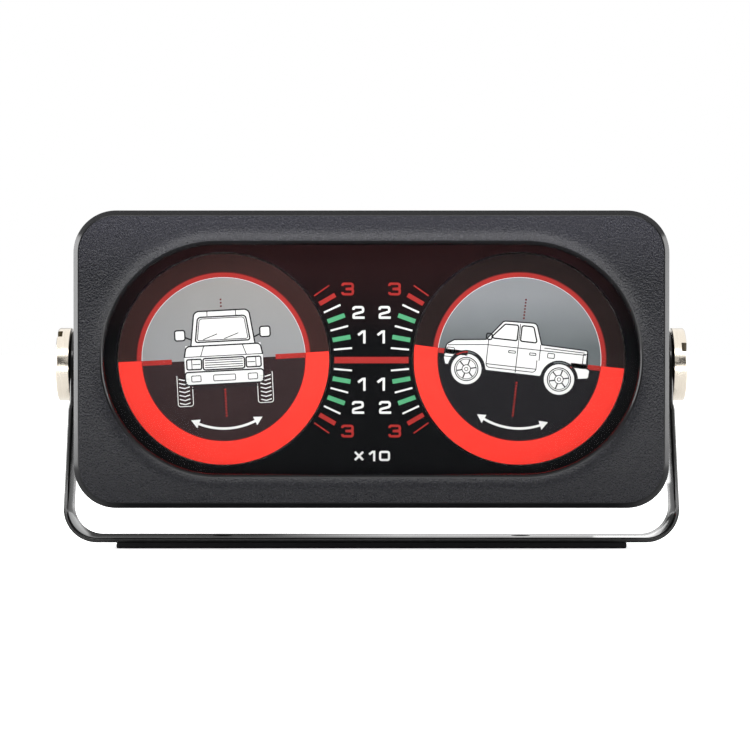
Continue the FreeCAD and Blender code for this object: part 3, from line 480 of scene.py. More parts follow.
def makeBezel():
    # (inset, depth) profiles of the outside, the window and the inside are carried round their
    # outlines; a narrow facet lies between chamfer and face, and the lip before the window
    # falls with the cube of the distance
    b = bezel
    front, inner = b["frontY"], b["frontY"] + b["faceThickness"]
    facet, soft = b["chamfer"] - b["facetDrop"], b["chamferSoftness"]
    outside = softLine([(0, b["splitY"]), (0, front + b["chamfer"]),
                        (facet, front + b["facetDrop"]), (facet + b["facetWidth"], front),
                        (b["faceRing"], front)], [0, soft, soft, soft, 0])
    edge, slope = b["windowRounding"], tan(radians(b["lipSlope"]))
    share = np.linspace(0, 1, b["lipRings"])
    lip = np.stack([-edge - b["lipWidth"] * (1 - share),
                    front + b["lipWidth"] * slope / 3 * share ** 3], 1)
    window = softLine([*lip, (0, lip[-1, 1] + edge * slope), (0, inner)],
                      [0] * b["lipRings"] + [edge, 0], steps=12)
    window = np.vstack([window, [(-b["backLand"], inner)]])
    lap = b["wall"] / 2
    inside = [(b["wall"], inner), (b["wall"], b["splitY"] - b["lapDepth"]),
              (b["wall"] - lap, b["splitY"] - b["lapDepth"]), (b["wall"] - lap, b["splitY"])]
    rows = [bezelLoop(i, y, "case") for i, y in outside]
    rows += [bezelLoop(i, y, "window") for i, y in window]
    rows += [bezelLoop(i, y, "case") for i, y in inside]
    points = np.stack(rows)
    faces = gridFaces(*points.shape[:2], aroundRows=True, aroundColumns=True)
    points = points.reshape(-1, 3)
    tip, bore = b["postEndY"], b["pilotRadius"]
    post = [(b["postRadius"], inner), (b["postRadius"], tip), (bore, tip),
            (bore, tip - b["pilotDepth"]), (1e-4, tip - b["pilotDepth"])]
    for sideX in (-1, 1):
        for sideZ in (-1, 1):
            tube = tubePoints(sideX * b["postX"], caseMidZ + sideZ * b["postZ"], post)
            shift = len(points)
            faces += (np.array(gridFaces(*tube.shape[:2], aroundColumns=True)) + shift).tolist()
            faces.append((np.arange(tube.shape[1]) + shift).tolist())
            points = np.vstack([points, tube.reshape(-1, 3)])
    piece = makePiece("bezelShell", points, faces, "frontPlastic", "case")
    # the moulding's edges are polished: the side, the chamfer and the window's rounding
    centres = np.empty(len(piece.data.polygons) * 3)
    normals = np.empty_like(centres)
    piece.data.polygons.foreach_get("center", centres)
    piece.data.polygons.foreach_get("normal", normals)
    centres, normals = centres.reshape(-1, 3) / mm, normals.reshape(-1, 3)
    strip = np.arange(len(normals)) // rows[0].shape[0]
    limit = np.where(strip < len(outside), b["polishedFrom"], b["windowPolishedFrom"])
    smooth = (normals[:, 1] > -np.cos(np.radians(limit))) & (centres[:, 1] < b["splitY"])
    piece.data.materials.append(finish["polishedPlastic"])
    piece.data.polygons.foreach_set("material_index", smooth.astype(np.int32))
    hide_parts("front_bezel")


makeBezel()
smoothCopy("rear_housing", "housingShell", "case")
smoothCopy("case_screws", "caseScrewSet", "case")
smoothCopy("cable_grommet", "cableSleeve", "case")
print("case shells made")


# mounting bracket: a strap's section carried along a U

bracket = {
    "width": 16.0,
    "thickness": 1.2,
    "edgeSoftness": 0.5,
    "padTop": 1.4,
    "bendRadius": 8.0,
    "splay": 2.7,
    "joggleDepth": 0.4,
    "joggleTilt": 15.0,
    "armX": 71.45,
    "earBottom": 34.9,
    "pivotZ": 43.9,
    "pivotHole": 2.6,
    "baseHole": 2.3,
    "baseHoleX": 36.0,
    "kinkSoftness": 4.0,
    "tipAngles": [10, 20, 30, 40, 50, 58, 66, 73, 79, 84, 88, 89.6],
    "holeReach": 4.0,
}


def strapLine():
    # mid-line of the right half in X and Z, from the middle of the base up to the pivot:
    # base, bend about its centre, splayed arm, joggle, upright ear
    b = bracket
    half = b["thickness"] / 2
    splay, tilt = radians(b["splay"]), radians(b["joggleTilt"])
    armTopX = b["armX"] + b["joggleDepth"]
    earBottom = b["earBottom"] - half * tan(tilt / 2)
    armTopZ = earBottom - b["joggleDepth"] / tan(tilt)
    bendZ = b["padTop"] + b["bendRadius"]
    middle = b["bendRadius"] - half
    rise = armTopZ - bendZ - middle * sin(splay)
    bendX = armTopX + tan(splay) * rise - middle * cos(splay)
    turn = np.linspace(-pi / 2, splay, 25)
    bend = np.stack([bendX + middle * np.cos(turn), bendZ + middle * np.sin(turn)], 1)
    flat = np.linspace(0, bendX, 30, endpoint=False)
    base = np.stack([flat, np.full_like(flat, b["padTop"] + half)], 1)
    kink = b["kinkSoftness"]
    arm = softLine([bend[-1], (armTopX, armTopZ), (b["armX"], earBottom),
                    (b["armX"], b["pivotZ"])], [0, kink, kink, 0], steps=8)
    return np.vstack([base, bend, arm[1:]])


def makeBracket():
    # a section with rounded edges is set square to the mid-line at each of its points; at the
    # ears' round ends the line goes on up by the radius times the sine of a turn, and the width
    # shrinks by its cosine
    b = bracket
    right = strapLine()
    line = np.vstack([right[:0:-1] * (-1, 1), right])
    halfWidth = b["width"] / 2
    turn = np.radians(b["tipAngles"])
    rise, shrink = halfWidth * np.sin(turn), np.cos(turn)
    tipRight = np.stack([np.full(len(turn), b["armX"]), b["pivotZ"] + rise], 1)
    tipLeft = tipRight[::-1] * (-1, 1)
    line = np.vstack([tipLeft, line, tipRight])
    width = np.concatenate([shrink[::-1], np.ones(len(line) - 2 * len(turn)), shrink])
    width *= halfWidth
    ahead = unit(np.gradient(line, axis=0))
    normal = np.stack([-ahead[:, 1], ahead[:, 0]], 1)
    half = b["thickness"] / 2
    soft = b["edgeSoftness"]
    corner = np.linspace(0, pi / 2, 5)
    # section points as (side, inward distance from the edge, distance from the mid-line)
    arcIn, arcUp = soft * (1 - np.cos(corner)), half - soft + soft * np.sin(corner)
    side = np.concatenate([np.ones(5), -np.ones(5), -np.ones(5), np.ones(5)])
    inward = np.concatenate([arcIn, arcIn[::-1], arcIn, arcIn[::-1]])
    across = np.concatenate([arcUp, arcUp[::-1], -arcUp, -arcUp[::-1]])
    y = side * np.maximum(width[:, None] - inward, 1e-3)
    x = line[:, 0, None] + normal[:, 0, None] * across
    z = line[:, 1, None] + normal[:, 1, None] * across
    points, faces = ringsWithEnds(np.stack([x, y, z], -1))
    piece = makePiece("bracketStrap", points, faces, "coatedSteel", "bracket",
                      sharp=40)
    reach = b["holeReach"]
    holes = [drum((s * b["armX"], 0, b["pivotZ"]), 0, b["pivotHole"], reach) for s in (-1, 1)]
    holes += [drum((s * b["baseHoleX"], 0, b["padTop"]), 2, b["baseHole"], reach) for s in (-1, 1)]
    cutWith(piece, holes, 40)
    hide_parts("mounting_bracket")


makeBracket()


# foam pad: a rounded outline whose sides bulge a little under the strap

pad = {
    "halfLength": 61.0,
    "halfWidth": 7.8,
    "thickness": 1.4,
    "cornerRadius": 0.8,
    "sideDraw": 0.12,
    "shares": (0.4, 0.6),
}


def makePad():
    # the outline is drawn in by a share of the side draw that falls off as a parabola from
    # the pad's two faces to its middle height
    p = pad
    level = np.linspace(0, 1, 7)
    draw = p["sideDraw"] * (2 * level - 1) ** 2
    rows = []
    for share, inset in zip(level, draw):
        flat = roundedLoop(p["halfLength"] - inset, p["halfWidth"] - inset, p["cornerRadius"],
                           *p["shares"], steps=60)
        height = np.full(len(flat), share * p["thickness"])
        rows.append(np.stack([flat[:, 0], flat[:, 1], height], 1))
    points, faces = ringsWithEnds(np.stack(rows))
    piece = makePiece("foamPad", points, faces, "tapeFoam", "bracket", sharp=50)
    b = bracket
    cutWith(piece, [drum((s * b["baseHoleX"], 0, 0), 2, b["baseHole"], b["holeReach"])
                    for s in (-1, 1)], 50)
    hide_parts("adhesive_pad")


makePad()
print("bracket and pad made")


# coin-slot knobs: a turned profile with a slot across the domed face

knob = {
    "radius": 8.8,
    "thickness": 3.6,
    "dome": 0.5,
    "edge": 0.5,
    "seatEdge": 0.15,
    "slotWidth": 2.4,
    "slotDepth": 1.75,
    "slotReach": 12.0,
    "slotClear": 5.0,
    "easeWidth": 0.6,
    "easeRise": 0.06,
    "domeFrom": 0.9,
    "around": 128,
    "recessRadius": 5.6,
    "recessDepth": 0.4,
    "studRadius": 2.5,
    "studLength": 9.6,
    "seatX": 72.2,
    "pivotZ": 43.9,
}


def makeKnob(name, side, angle, node, body):
    # (radius, height) profile turned about the pivot's line; the dome is a shallow arc from the
    # rim to the middle, of the radius that its rise over the rim's radius gives
    k = knob
    edge = k["edge"]
    rimTop = k["thickness"] - k["dome"]
    rim = k["radius"] - edge
    wall = softLine([(k["studRadius"], -k["studLength"]), (k["studRadius"], k["recessDepth"]),
                     (k["recessRadius"], k["recessDepth"]), (k["recessRadius"], 0),
                     (k["radius"], 0), (k["radius"], rimTop),
                     (rim - k["easeWidth"], rimTop + k["easeRise"])],
                    [0, 0, 0, 0, k["seatEdge"], edge, 0], steps=6)
    domeRadius = (rim * rim + k["dome"] ** 2) / (2 * k["dome"])
    out = np.linspace(rim - k["domeFrom"], 0.001, 16)
    dome = np.stack([out, k["thickness"] - domeRadius + np.sqrt(domeRadius ** 2 - out ** 2)], 1)
    profile = np.vstack([[(0.001, -k["studLength"])], wall, dome])
    turn = np.arange(k["around"]) * 2 * pi / k["around"]
    radius, height = profile.T
    x = side * (k["seatX"] + np.repeat(height[:, None], k["around"], 1))
    y, z = radius[:, None] * np.cos(turn), k["pivotZ"] + radius[:, None] * np.sin(turn)
    points, faces = ringsWithEnds(np.stack([x, y, z], -1))
    piece = makePiece(name, points, faces, "warmNickel", body, sharp=35)
    # the slot's box runs past the rim along a line that is raised by the angle to the reader
    along = np.array([0, -cos(radians(angle)), sin(radians(angle))]) * k["slotReach"]
    across = np.array([0, sin(radians(angle)), cos(radians(angle))]) * k["slotWidth"] / 2
    floor = k["seatX"] + k["thickness"] - k["slotDepth"]
    corners = [[np.array([side * x, 0, k["pivotZ"]]) + a * along + c * across
                for a, c in ((-1, -1), (1, -1), (1, 1), (-1, 1))]
               for x in (floor, floor + k["slotClear"])]
    # the slot's walls take a rougher nickel whose darker colour is painted shade inside the slot
    cutWith(piece, [ringsWithEnds(np.array(corners))], 35, "roughNickelSlotShade")
    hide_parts(node)


makeKnob("leftKnobHead", -1, 57.6, "left_knob", "left_knob_body")
makeKnob("rightKnobHead", 1, 28.8, "right_knob", "right_knob_body")
print("knobs made")


# prints: thin closed plates on the discs and on the scale plate

ink = {
    "discY": -12.6,
    "plateY": -12.7,
    "step": 0.02,
}


def joinSolids(solids):
    # several shapes as one list of points, with each one's corner numbers moved on
    points, faces, shift = [], [], 0
    for spots, sides in solids:
        spots = np.asarray(spots).reshape(-1, 3)
        points.append(spots)
        faces += [[i + shift for i in side] for side in sides]
        shift += len(spots)
    return np.concatenate(points), faces


def strokePlate(line, width, back, front, closed=False):
    # two edges lie half a width off the line along its mitred normals, at a front and a back depth
    line = np.asarray(line, float)
    if closed:
        before, after = np.roll(line, 1, 0), np.roll(line, -1, 0)
    else:
        before = np.vstack([2 * line[:1] - line[1:2], line[:-1]])
        after = np.vstack([line[1:], 2 * line[-1:] - line[-2:-1]])
    first, second = unit(line - before), unit(after - line)
    side = unit(np.stack([-(first + second)[:, 1], (first + second)[:, 0]], 1))
    square = np.abs(side[:, 0] * -first[:, 1] + side[:, 1] * first[:, 0])
    offset = side * (width / 2 / np.maximum(square, 0.35))[:, None]
    left, right = line + offset, line - offset
    columns = [(left, front), (right, front), (right, back), (left, back)]
    points = np.stack([np.stack([edge[:, 0], np.full(len(edge), y), edge[:, 1]], 1)
                       for edge, y in columns], 1)
    faces = gridFaces(len(line), 4, aroundRows=closed, aroundColumns=True)
    if not closed:
        last = 4 * (len(line) - 1)
        faces += [[0, 1, 2, 3], [last, last + 1, last + 2, last + 3]]
    return points, faces


def fillPlate(outline, back, front):
    # an outline set at a front and a back depth, with both faces closed
    x, z = np.asarray(outline, float).T
    return ringsWithEnds(np.stack([np.stack([x, np.full_like(x, y), z], 1)
                                   for y in (front, back)]))


def drawLines(lines, back, front):
    # each entry is a line, its width and, where the line closes, True
    return [strokePlate(line, width, back, front, *closed) for line, width, *closed in lines]


def arcLine(radius, start, end, steps=None, centre=(0, 0)):
    # points of an arc about a centre, from one angle to another in degrees
    steps = steps or max(int(abs(end - start) / 2), 4)
    turn = np.radians(np.linspace(start, end, steps + 1))
    return np.stack([centre[0] + radius * np.cos(turn), centre[1] + radius * np.sin(turn)], 1)


def circleLine(radius, centre=(0, 0), steps=72):
    # a full turn without its last point, which would be the first again
    return arcLine(radius, 0, 360 - 360 / steps, steps - 1, centre)


def boxLine(left, bottom, right, top, soft=0.3, steps=4):
    # four corners, each rounded by the same radius
    corners = [(left, bottom), (right, bottom), (right, top), (left, top)]
    return softLine(corners, soft, True, steps)


def sideBox(side, inner, bottom, outer, top, soft):
    # a box between two distances from the middle, on the side that is -1 or 1
    left, right = sorted((side * inner, side * outer))
    return boxLine(left, bottom, right, top, soft)


def turnAndPlace(points, degreesUp, x, z):
    # the flat drawing is turned about its own middle and set at its place on the case
    points = np.asarray(points, float).reshape(-1, 3)
    c, s = cos(radians(degreesUp)), sin(radians(degreesUp))
    u, v = points[:, 0], points[:, 2]
    return np.stack([x + c * u - s * v, points[:, 1], z + s * u + c * v], 1)


# dial faces: sky over ground, a red rim that is wide below the horizon

dialFace = {
    "radius": 24.96,
    "skyRadius": 19.42,
    "ringWidth": 1.08,
    "horizonHalf": 0.58,
    "barInner": 12.3,
    "paleLine": 0.1,
    "shadowLine": 0.22,
    "dotPitch": 0.7,
    "dotSize": 0.4,
    "arrowRadius": 16.4,
    "arrowReach": 24.0,
    "arrowWidth": 0.55,
    "arrowHead": 7.0,
    "arrowHeadHalf": 1.1,
    "leanRadius": 22.0,
    "barPast": 0.1,
    "paleStart": 1.7,
}
dials = {
    "roll": dict(x=-35.0, turn=3.0, body="roll_card", sky="skyInk", ground="groundInk",
                 dotsAbove=(12.6, 14.2), dotsBelow=(-13.4, -7.2)),
    # the pitch dial takes the darker copies of the sky and ground inks: painted shade
    "pitch": dict(x=35.0, turn=-6.5, body="pitch_card", sky="shadedSkyInk",
                  ground="shadedGroundInk", dotsAbove=(9.8, 14.2), dotsBelow=(-13.4, -5.6)),
}


def dotRow(low, high):
    # small squares on the dial's upright line, evenly spread between two heights
    d = dialFace
    count = int(round((high - low) / d["dotPitch"])) + 1
    half = d["dotSize"] / 2
    heights = np.linspace(low, high, count)
    return [boxLine(-half, z - half, half, z + half, 0.08, 2) for z in heights]


def arrowPlates(back, front):
    # a curved bar about the dial's middle with a triangle at each end, pointing along the arc
    d = dialFace
    radius, reach, half = d["arrowRadius"], d["arrowReach"], d["arrowHeadHalf"]
    plates = [strokePlate(arcLine(radius, 270 - reach, 270 + reach, 40), d["arrowWidth"],
                          back, front)]
    for side in (-1, 1):
        tail, tip = (np.array([cos(radians(angle)), sin(radians(angle))])
                     for angle in (270 + side * reach, 270 + side * (reach + d["arrowHead"])))
        head = [tail * (radius - half), tip * radius, tail * (radius + half)]
        plates.append(fillPlate(head[::side], back, front))
    return plates


def makeDial(key):
    # rings are strokes along arcs and halves are filled arcs; a drawing's layers differ in depth
    # by one step, and all of them are turned by the dial's own angle
    d, own = dialFace, dials[key]
    base, step = ink["discY"], ink["step"]
    one, two, three = base - step, base - 2 * step, base - 3 * step
    rim, sky, ring, shade = d["radius"], d["skyRadius"], d["ringWidth"], d["shadowLine"]
    lean = degrees(asin(d["horizonHalf"] / d["leanRadius"]))
    pale = d["paleStart"]
    red = [(arcLine((rim + sky) / 2, 180 - lean, 360 + lean, 120), rim - sky)]
    dull = drawLines([(arcLine(sky + ring / 2, lean, 180 - lean, 110), ring)], base, two)
    for side in (-1, 1):
        left, right = sorted((side * d["barInner"], side * (sky + d["barPast"])))
        low, high = -d["horizonHalf"], d["horizonHalf"]
        dull.append(fillPlate([(left, low), (right, low), (right, high), (left, high)], base, two))
    dull += [fillPlate(dot, base, two) for dot in dotRow(*own["dotsBelow"])]
    # painted shadow: thin dark red lines along the ring's outer edge above the horizon and the
    # sky's edge below it; the dots above the horizon are real print in the same ink
    shadow = [
        strokePlate(arcLine(sky + ring + shade / 2, lean, 180 - lean, 110), shade, base, one),
        strokePlate(arcLine(sky - shade / 2, 180 + lean, 360 - lean, 110), shade, base, two),
    ]
    shadow += [fillPlate(dot, base, two) for dot in dotRow(*own["dotsAbove"])]
    edge = [(arcLine(sky - d["paleLine"] / 2, pale, 180 - pale, 110), d["paleLine"])]
    fillVehicle, lineVehicle = pictures[key]
    layers = {
        "Sky": (own["sky"], [fillPlate(arcLine(sky, 0, 180, 120), base, one)]),
        "Ground": (own["ground"], [fillPlate(arcLine(sky, 180, 360, 120), base, one)]),
        "Rim": ("redInk", drawLines(red, base, two)),
        "Ring": ("dullRedInk", dull),
        "Shadow": ("paintedShadowAndDotInk", shadow),
        "PaleLine": ("whiteInk", drawLines(edge, base, two)),
        "Arrow": ("whiteInk", arrowPlates(base, two)),
        "Vehicle": ("whiteInk", fillVehicle(base, two)),
        "VehicleLines": ("lineInk", lineVehicle(base, three)),
    }
    for layer, (finishName, solids) in layers.items():
        points, faces = joinSolids(solids)
        points = turnAndPlace(points, own["turn"], own["x"], caseMidZ)
        makePiece(key + layer, points, faces, finishName, own["body"], sharp=60)


# vehicle pictures: a plain pickup, from the front on the roll dial and from the side on the
# pitch dial, each as white fills under thin and bold lines

thin, bold = 0.2, 0.34
frontTruck = {
    "cab": softLine([(-7.6, 3.4), (-6.5, 11.6), (6.5, 11.6), (7.6, 3.4)], [0, 1.3, 1.3, 0]),
    "treads": 7,
    "treadPitch": 0.95,
}


def frontFill(back, front):
    # cab and body in one outline, mirrors, and tyres as an edge with a stack of treads
    t = frontTruck
    lower = softLine([(8.9, 3.6), (9.3, 0.6), (9.3, -4.4), (8.6, -5.8), (-8.6, -5.8), (-9.3, -4.4),
                      (-9.3, 0.6), (-8.9, 3.6)], [0.8, 0.4, 0.5, 0.6, 0.6, 0.5, 0.4, 0.8], steps=4)
    plates = [fillPlate(np.vstack([t["cab"], lower]), back, front)]
    for side in (-1, 1):
        plates.append(fillPlate(sideBox(side, 8.9, 4.9, 11.3, 7.3, 0.5), back, front))
        tops = [-4.2 - row * t["treadPitch"] for row in range(t["treads"])]
        treads = [([(side * 8.4, top), (side * 9.6, top - 0.35), (side * 10.9, top)], 0.24)
                  for top in tops]
        tyre = softLine([(side * 7.7, -6.2), (side * 7.7, -10.7), (side * 11.3, -10.7),
                         (side * 11.3, -3.4)], [0, 0.6, 0.6, 0])
        plates += drawLines([*treads, (tyre, 0.16)], back, front)
    return plates


def frontLines(back, front):
    # roof, windscreen with its frame and wipers, hood, grille, bumper, lamps and mirrors
    lines = [
        (frontTruck["cab"], bold),
        (softLine([(-6.5, 4.3), (-5.7, 10.2), (5.7, 10.2), (6.5, 4.3)], [0.5, 0.9, 0.9, 0.5],
                  True), bold, True),
        (softLine([(-6.0, 4.7), (-5.3, 9.8), (5.3, 9.8), (6.0, 4.7)], [0.4, 0.7, 0.7, 0.4],
                  True), thin, True),
        ([(-4.6, 4.9), (-1.2, 6.1)], thin),
        ([(0.4, 4.9), (3.8, 6.1)], thin),
        (softLine([(-9.3, 0.8), (-8.8, 3.4), (8.8, 3.4), (9.3, 0.8)], [0, 1.0, 1.0, 0]), bold),
        ([(-9.3, 0.9), (9.3, 0.9)], thin),
        ([(-4.6, 3.3), (-5.4, 1.0)], thin),
        ([(4.6, 3.3), (5.4, 1.0)], thin),
        (boxLine(-4.9, -2.3, 4.9, 0.4, 0.5), bold, True),
        (boxLine(-9.3, -5.8, 9.3, -2.7, 0.7), bold, True),
        (boxLine(-2.6, -5.0, 2.6, -3.6, 0.25), thin, True),
        ([(-8.0, -6.5), (8.0, -6.5)], 0.3),
    ]
    lines += [([(-4.5, z), (4.5, z)], thin) for z in (-1.75, -1.2, -0.65, -0.1)]
    for side in (-1, 1):
        lines += [
            (sideBox(side, 5.3, -2.1, 8.8, 0.3, 0.4), bold, True),
            ([(side * 7.6, -2.0), (side * 7.6, 0.2)], thin),
            ([(side * 5.6, -0.9), (side * 7.4, -0.9)], thin),
            (sideBox(side, 5.6, -5.0, 7.8, -3.6, 0.25), thin, True),
            (sideBox(side, 8.9, 4.9, 11.3, 7.3, 0.5), bold, True),
            ([(side * 7.5, 5.0), (side * 8.9, 5.6)], bold),
            ([(side * 3.4, 11.6), (side * 3.4, 10.3)], thin),
        ]
    return drawLines(lines, back, front)


sideTruck = {
    "wheels": ((-12.2, -3.7), (9.9, -3.7)),
    "tyre": 3.75,
    "arch": 4.35,
    "archDrop": 0.6,
    "spokes": 6,
    "spokeTurn": 15.0,
}


def truckOutline():
    # nose, hood, windscreen, roof, bed, tail and sill, with an arc over each wheel
    t = sideTruck
    (frontX, frontZ), (rearX, rearZ) = t["wheels"]
    rise = degrees(asin(t["archDrop"] / t["arch"]))
    body = softLine([(-17.4, -3.1), (-17.9, -1.6), (-17.5, 1.7), (-15.8, 2.9), (-8.3, 3.8),
                     (-4.6, 8.6), (3.2, 8.9), (4.9, 4.0), (15.9, 3.8), (16.2, -0.4), (16.9, -0.8),
                     (16.8, -2.8), (rearX + 4.3, -3.1)],
                    [0, 0.5, 0.8, 0.8, 0.5, 1.1, 1.1, 0.3, 0.5, 0.2, 0.3, 0.5, 0], steps=4)
    rear = arcLine(t["arch"], rise, 180 - rise, 30, (rearX, rearZ))
    front = arcLine(t["arch"], rise, 180 - rise, 30, (frontX, frontZ))
    return np.vstack([body, rear, [(rearX - 4.6, -3.5), (frontX + 4.6, -3.5)], front])


def sideFill(back, front):
    # the outline and a disc for each tyre
    t = sideTruck
    shapes = [truckOutline()] + [circleLine(t["tyre"], spot) for spot in t["wheels"]]
    return [fillPlate(shape, back, front) for shape in shapes]


def sideLines(back, front):
    # outline, windows, doors, body lines, handles, mirror, lamps and bed, then wheels as circles
    # with spokes at even turns
    t = sideTruck
    lines = [
        (truckOutline(), 0.3, True),
        (softLine([(-7.3, 4.3), (-4.2, 7.9), (-1.0, 8.0), (-1.0, 4.3)], [0.4, 0.6, 0.5, 0.4],
                  True), bold, True),
        (softLine([(-0.2, 4.3), (-0.2, 8.0), (2.6, 8.0), (3.8, 4.3)], [0.4, 0.5, 0.6, 0.4],
                  True), bold, True),
        ([(-0.6, 8.3), (-0.6, -3.2)], thin),
        ([(4.7, 4.0), (4.7, 0.2)], thin),
        (softLine([(-7.7, 3.8), (-7.7, -2.7), (-0.6, -2.7)], [0, 0.9, 0], steps=4), thin),
        (softLine([(-0.6, -2.7), (4.2, -2.7), (4.2, 0.2)], [0, 0.9, 0], steps=4), thin),
        ([(-17.2, 1.5), (-8.2, 2.6), (15.6, 2.7)], thin),
        ([(-7.6, -1.9), (4.2, -1.9)], thin),
        (boxLine(-2.7, 1.3, -1.1, 1.8, 0.15), thin, True),
        (boxLine(2.3, 1.3, 3.8, 1.8, 0.15), thin, True),
        (boxLine(-8.3, 3.9, -7.0, 5.3, 0.35), bold, True),
        (boxLine(-17.3, -0.4, -15.5, 1.0, 0.3), thin, True),
        (boxLine(15.0, 0.5, 15.9, 2.9, 0.2), thin, True),
        ([(-17.7, -1.2), (-15.9, -1.2)], thin),
        (boxLine(6.6, 1.1, 8.2, 2.2, 0.2), thin, True),
        ([(5.6, 3.3), (15.2, 3.2)], thin),
    ]
    for x, z in t["wheels"]:
        rings = ((t["tyre"], 0.3), (2.75, 0.24), (2.35, 0.16), (1.0, 0.2), (0.4, 0.16))
        lines += [(circleLine(radius, (x, z), 48), width, True) for radius, width in rings]
        for spoke in range(t["spokes"]):
            turn = radians(spoke * 360 / t["spokes"] + t["spokeTurn"])
            lines.append(([(x + r * cos(turn), z + r * sin(turn)) for r in (1.05, 2.3)], 0.3))
    return drawLines(lines, back, front)


pictures = {"roll": (frontFill, frontLines), "pitch": (sideFill, sideLines)}
makeDial("roll")
makeDial("pitch")
print("dial prints made")


# scale plate prints: a centre bar, marks every five degrees from each dial, plain numbers

scaleMarks = {
    "inner": 26.2,
    "outer": 30.5,
    "thin": 0.42,
    "thick": 1.06,
    "lastThin": 0.3,
    "barHalf": 8.8,
    "barWidth": 1.5,
    "barRise": -0.19,
    "stroke": 0.56,
    "smallStroke": 0.504,
    "dialX": 35.0,
    "widest": 35,
    "every": 5,
}


def glyphLines(sign):
    # straight legs of each number in a box about 2.9 wide and 3.1 high, middle at zero
    if sign == "1":
        return [[(-0.85, 0.45), (0.35, 1.35)], [(0.62, 1.55), (0.62, -1.55)]]
    if sign == "2":
        return [softLine([(-1.15, 0.62), (-1.15, 1.24), (1.12, 1.24), (1.12, 0.16),
                          (-1.12, -0.44), (-1.12, -1.24), (1.46, -1.24)],
                         [0, 0.45, 0.45, 0.4, 0.4, 0.1, 0], steps=4)]
    if sign == "3":
        return [softLine([(-1.3, 0.72), (-1.3, 1.24), (1.12, 1.24), (1.12, 0.1), (-0.55, 0.0)],
                         [0, 0.4, 0.45, 0.35, 0], steps=4),
                softLine([(-0.55, 0.0), (1.15, -0.05), (1.15, -1.24), (-1.3, -1.24), (-1.3, -0.72)],
                         [0, 0.35, 0.45, 0.4, 0], steps=4)]
    if sign == "0":
        return [boxLine(-1.05, -0.95, 1.05, 0.95, 0.4)]
    return [[(-1.2, 1.2), (1.2, -1.2)], [(-1.2, -1.2), (1.2, 1.2)]]


def makeScale():
    # marks point at the dials' middles, red from 30 degrees up, green and thick at whole tens
    s = scaleMarks
    base, step = ink["plateY"], ink["step"]
    white, green, red = [], [], []
    for side in (-1, 1):
        for angle in range(-s["widest"], s["widest"] + 1, s["every"]):
            size = abs(angle)
            if size == 0:
                continue
            width = s["thin"] if size % 10 else s["thick"]
            if size == s["widest"]:
                width = s["lastThin"]
            group = red if size >= 30 else white if size % 10 else green
            turn = radians(angle)
            ends = [(side * (s["dialX"] - r * cos(turn)), r * sin(turn))
                    for r in (s["inner"], s["outer"])]
            group.append(strokePlate(ends, width, base, base - step))
    bar = [(-s["barHalf"], s["barRise"]), (s["barHalf"], s["barRise"])]
    red.append(strokePlate(bar, s["barWidth"], base, base - step))
    spots = [("1", 2.3, 5.3), ("1", 2.3, -5.9), ("2", 3.1, 11.1), ("2", 3.2, -11.4),
             ("3", 5.55, 16.65), ("3", 5.6, -17.0)]
    placed = [(sign, side * x, z, 1.0, s["stroke"]) for sign, x, z in spots for side in (-1, 1)]
    placed += [(sign, x, -22.9, size, s["smallStroke"])
               for sign, x, size in (("x", -2.95, 0.8), ("1", 0.15, 0.8), ("0", 3.1, 1.0))]
    for sign, x, z, size, width in placed:
        for index, line in enumerate(glyphLines(sign)):
            depth = base - step * (1 + 0.5 * index)
            plate = strokePlate(np.asarray(line) * size + (x, z), width, base, depth, sign == "0")
            (red if sign == "3" else white).append(plate)
    groups = {"scaleWhite": ("whiteInk", white), "scaleGreen": ("greenInk", green),
              "scaleRed": ("dullRedInk", red)}
    for name, (finishName, solids) in groups.items():
        points, faces = joinSolids(solids)
        points = turnAndPlace(points, 0, 0, caseMidZ)
        makePiece(name, points, faces, finishName, "case", sharp=60)


makeScale()
print("scale prints made")


# stage: pale floor and soft lights from both sides and above the reader

studio = {
    "floorSize": 20000.0,
    "floorDrop": 0.3,
    "floorWhite": 0.8,
    "floorFront": 8.0,
    "floorMiddle": 0.5,
    "floorSides": 0.88,
    "floorOthers": 0.14,
    "sideStep": (0.058, 0.07),
    "nearStep": (-0.17, -0.14),
    "farStep": (-0.32, -0.26),
    "belowStep": (-0.034, -0.027),
}
surround = {
    "zoneLight": 0.08,
    "zoneSides": (-0.72, -0.5),
    "zoneTop": (0.38, 0.44),
    "panelLight": 0.9,
    "panelSides": (0.045, 0.065),
    "panelBottom": (0.09, 0.18),
    "panelTop": (0.36, 0.4),
    "panelAhead": (-0.8, -0.7),
    "bandLeft": 0.08,
    "bandRight": 0.9,
    "bandMiddle": (-0.04, 0.01),
    "bandFront": (0.2, 0.5),
    "bandTop": (0.18, 0.34),
    "zenithLight": 1.25,
    "zenithStep": (0.4, 0.6),
}
lamps = {
    "leftSoftbox": dict(place=(-620, -60, 120), target=(0, 0, 45), size=(500, 400), power=7.2),
    "rightSoftbox": dict(place=(620, -60, 120), target=(0, 0, 45), size=(500, 400), power=5.184),
    "frontSoftbox": dict(place=(0, -766, 690), target=(0, 0, 45), size=(900, 250), power=3.0),
    "rightCard": dict(place=(75, 80, 34), target=(75, 0, 34), size=(30, 46), power=0.0052),
}


def mathNode(material, operation, *sources):
    # one or two values joined by the operation, and any further ones by it again
    node = addNode(material, "Math")
    node.operation = operation
    for source, socket in zip(sources[:2], node.inputs):
        material.node_tree.links.new(source, socket)
    if len(sources) > 2:
        return mathNode(material, operation, node.outputs["Value"], *sources[2:])
    return node.outputs["Value"]


def cameraNode(material, others, seen):
    # one value for what the camera sees, another for light and reflections
    node = addNode(material, "Mix")
    eye = addNode(material, "LightPath").outputs["Is Camera Ray"]
    material.node_tree.links.new(eye, node.inputs["Factor"])
    material.node_tree.links.new(others, node.inputs["A"])
    node.inputs["B"].default_value = seen
    return node.outputs["Result"]


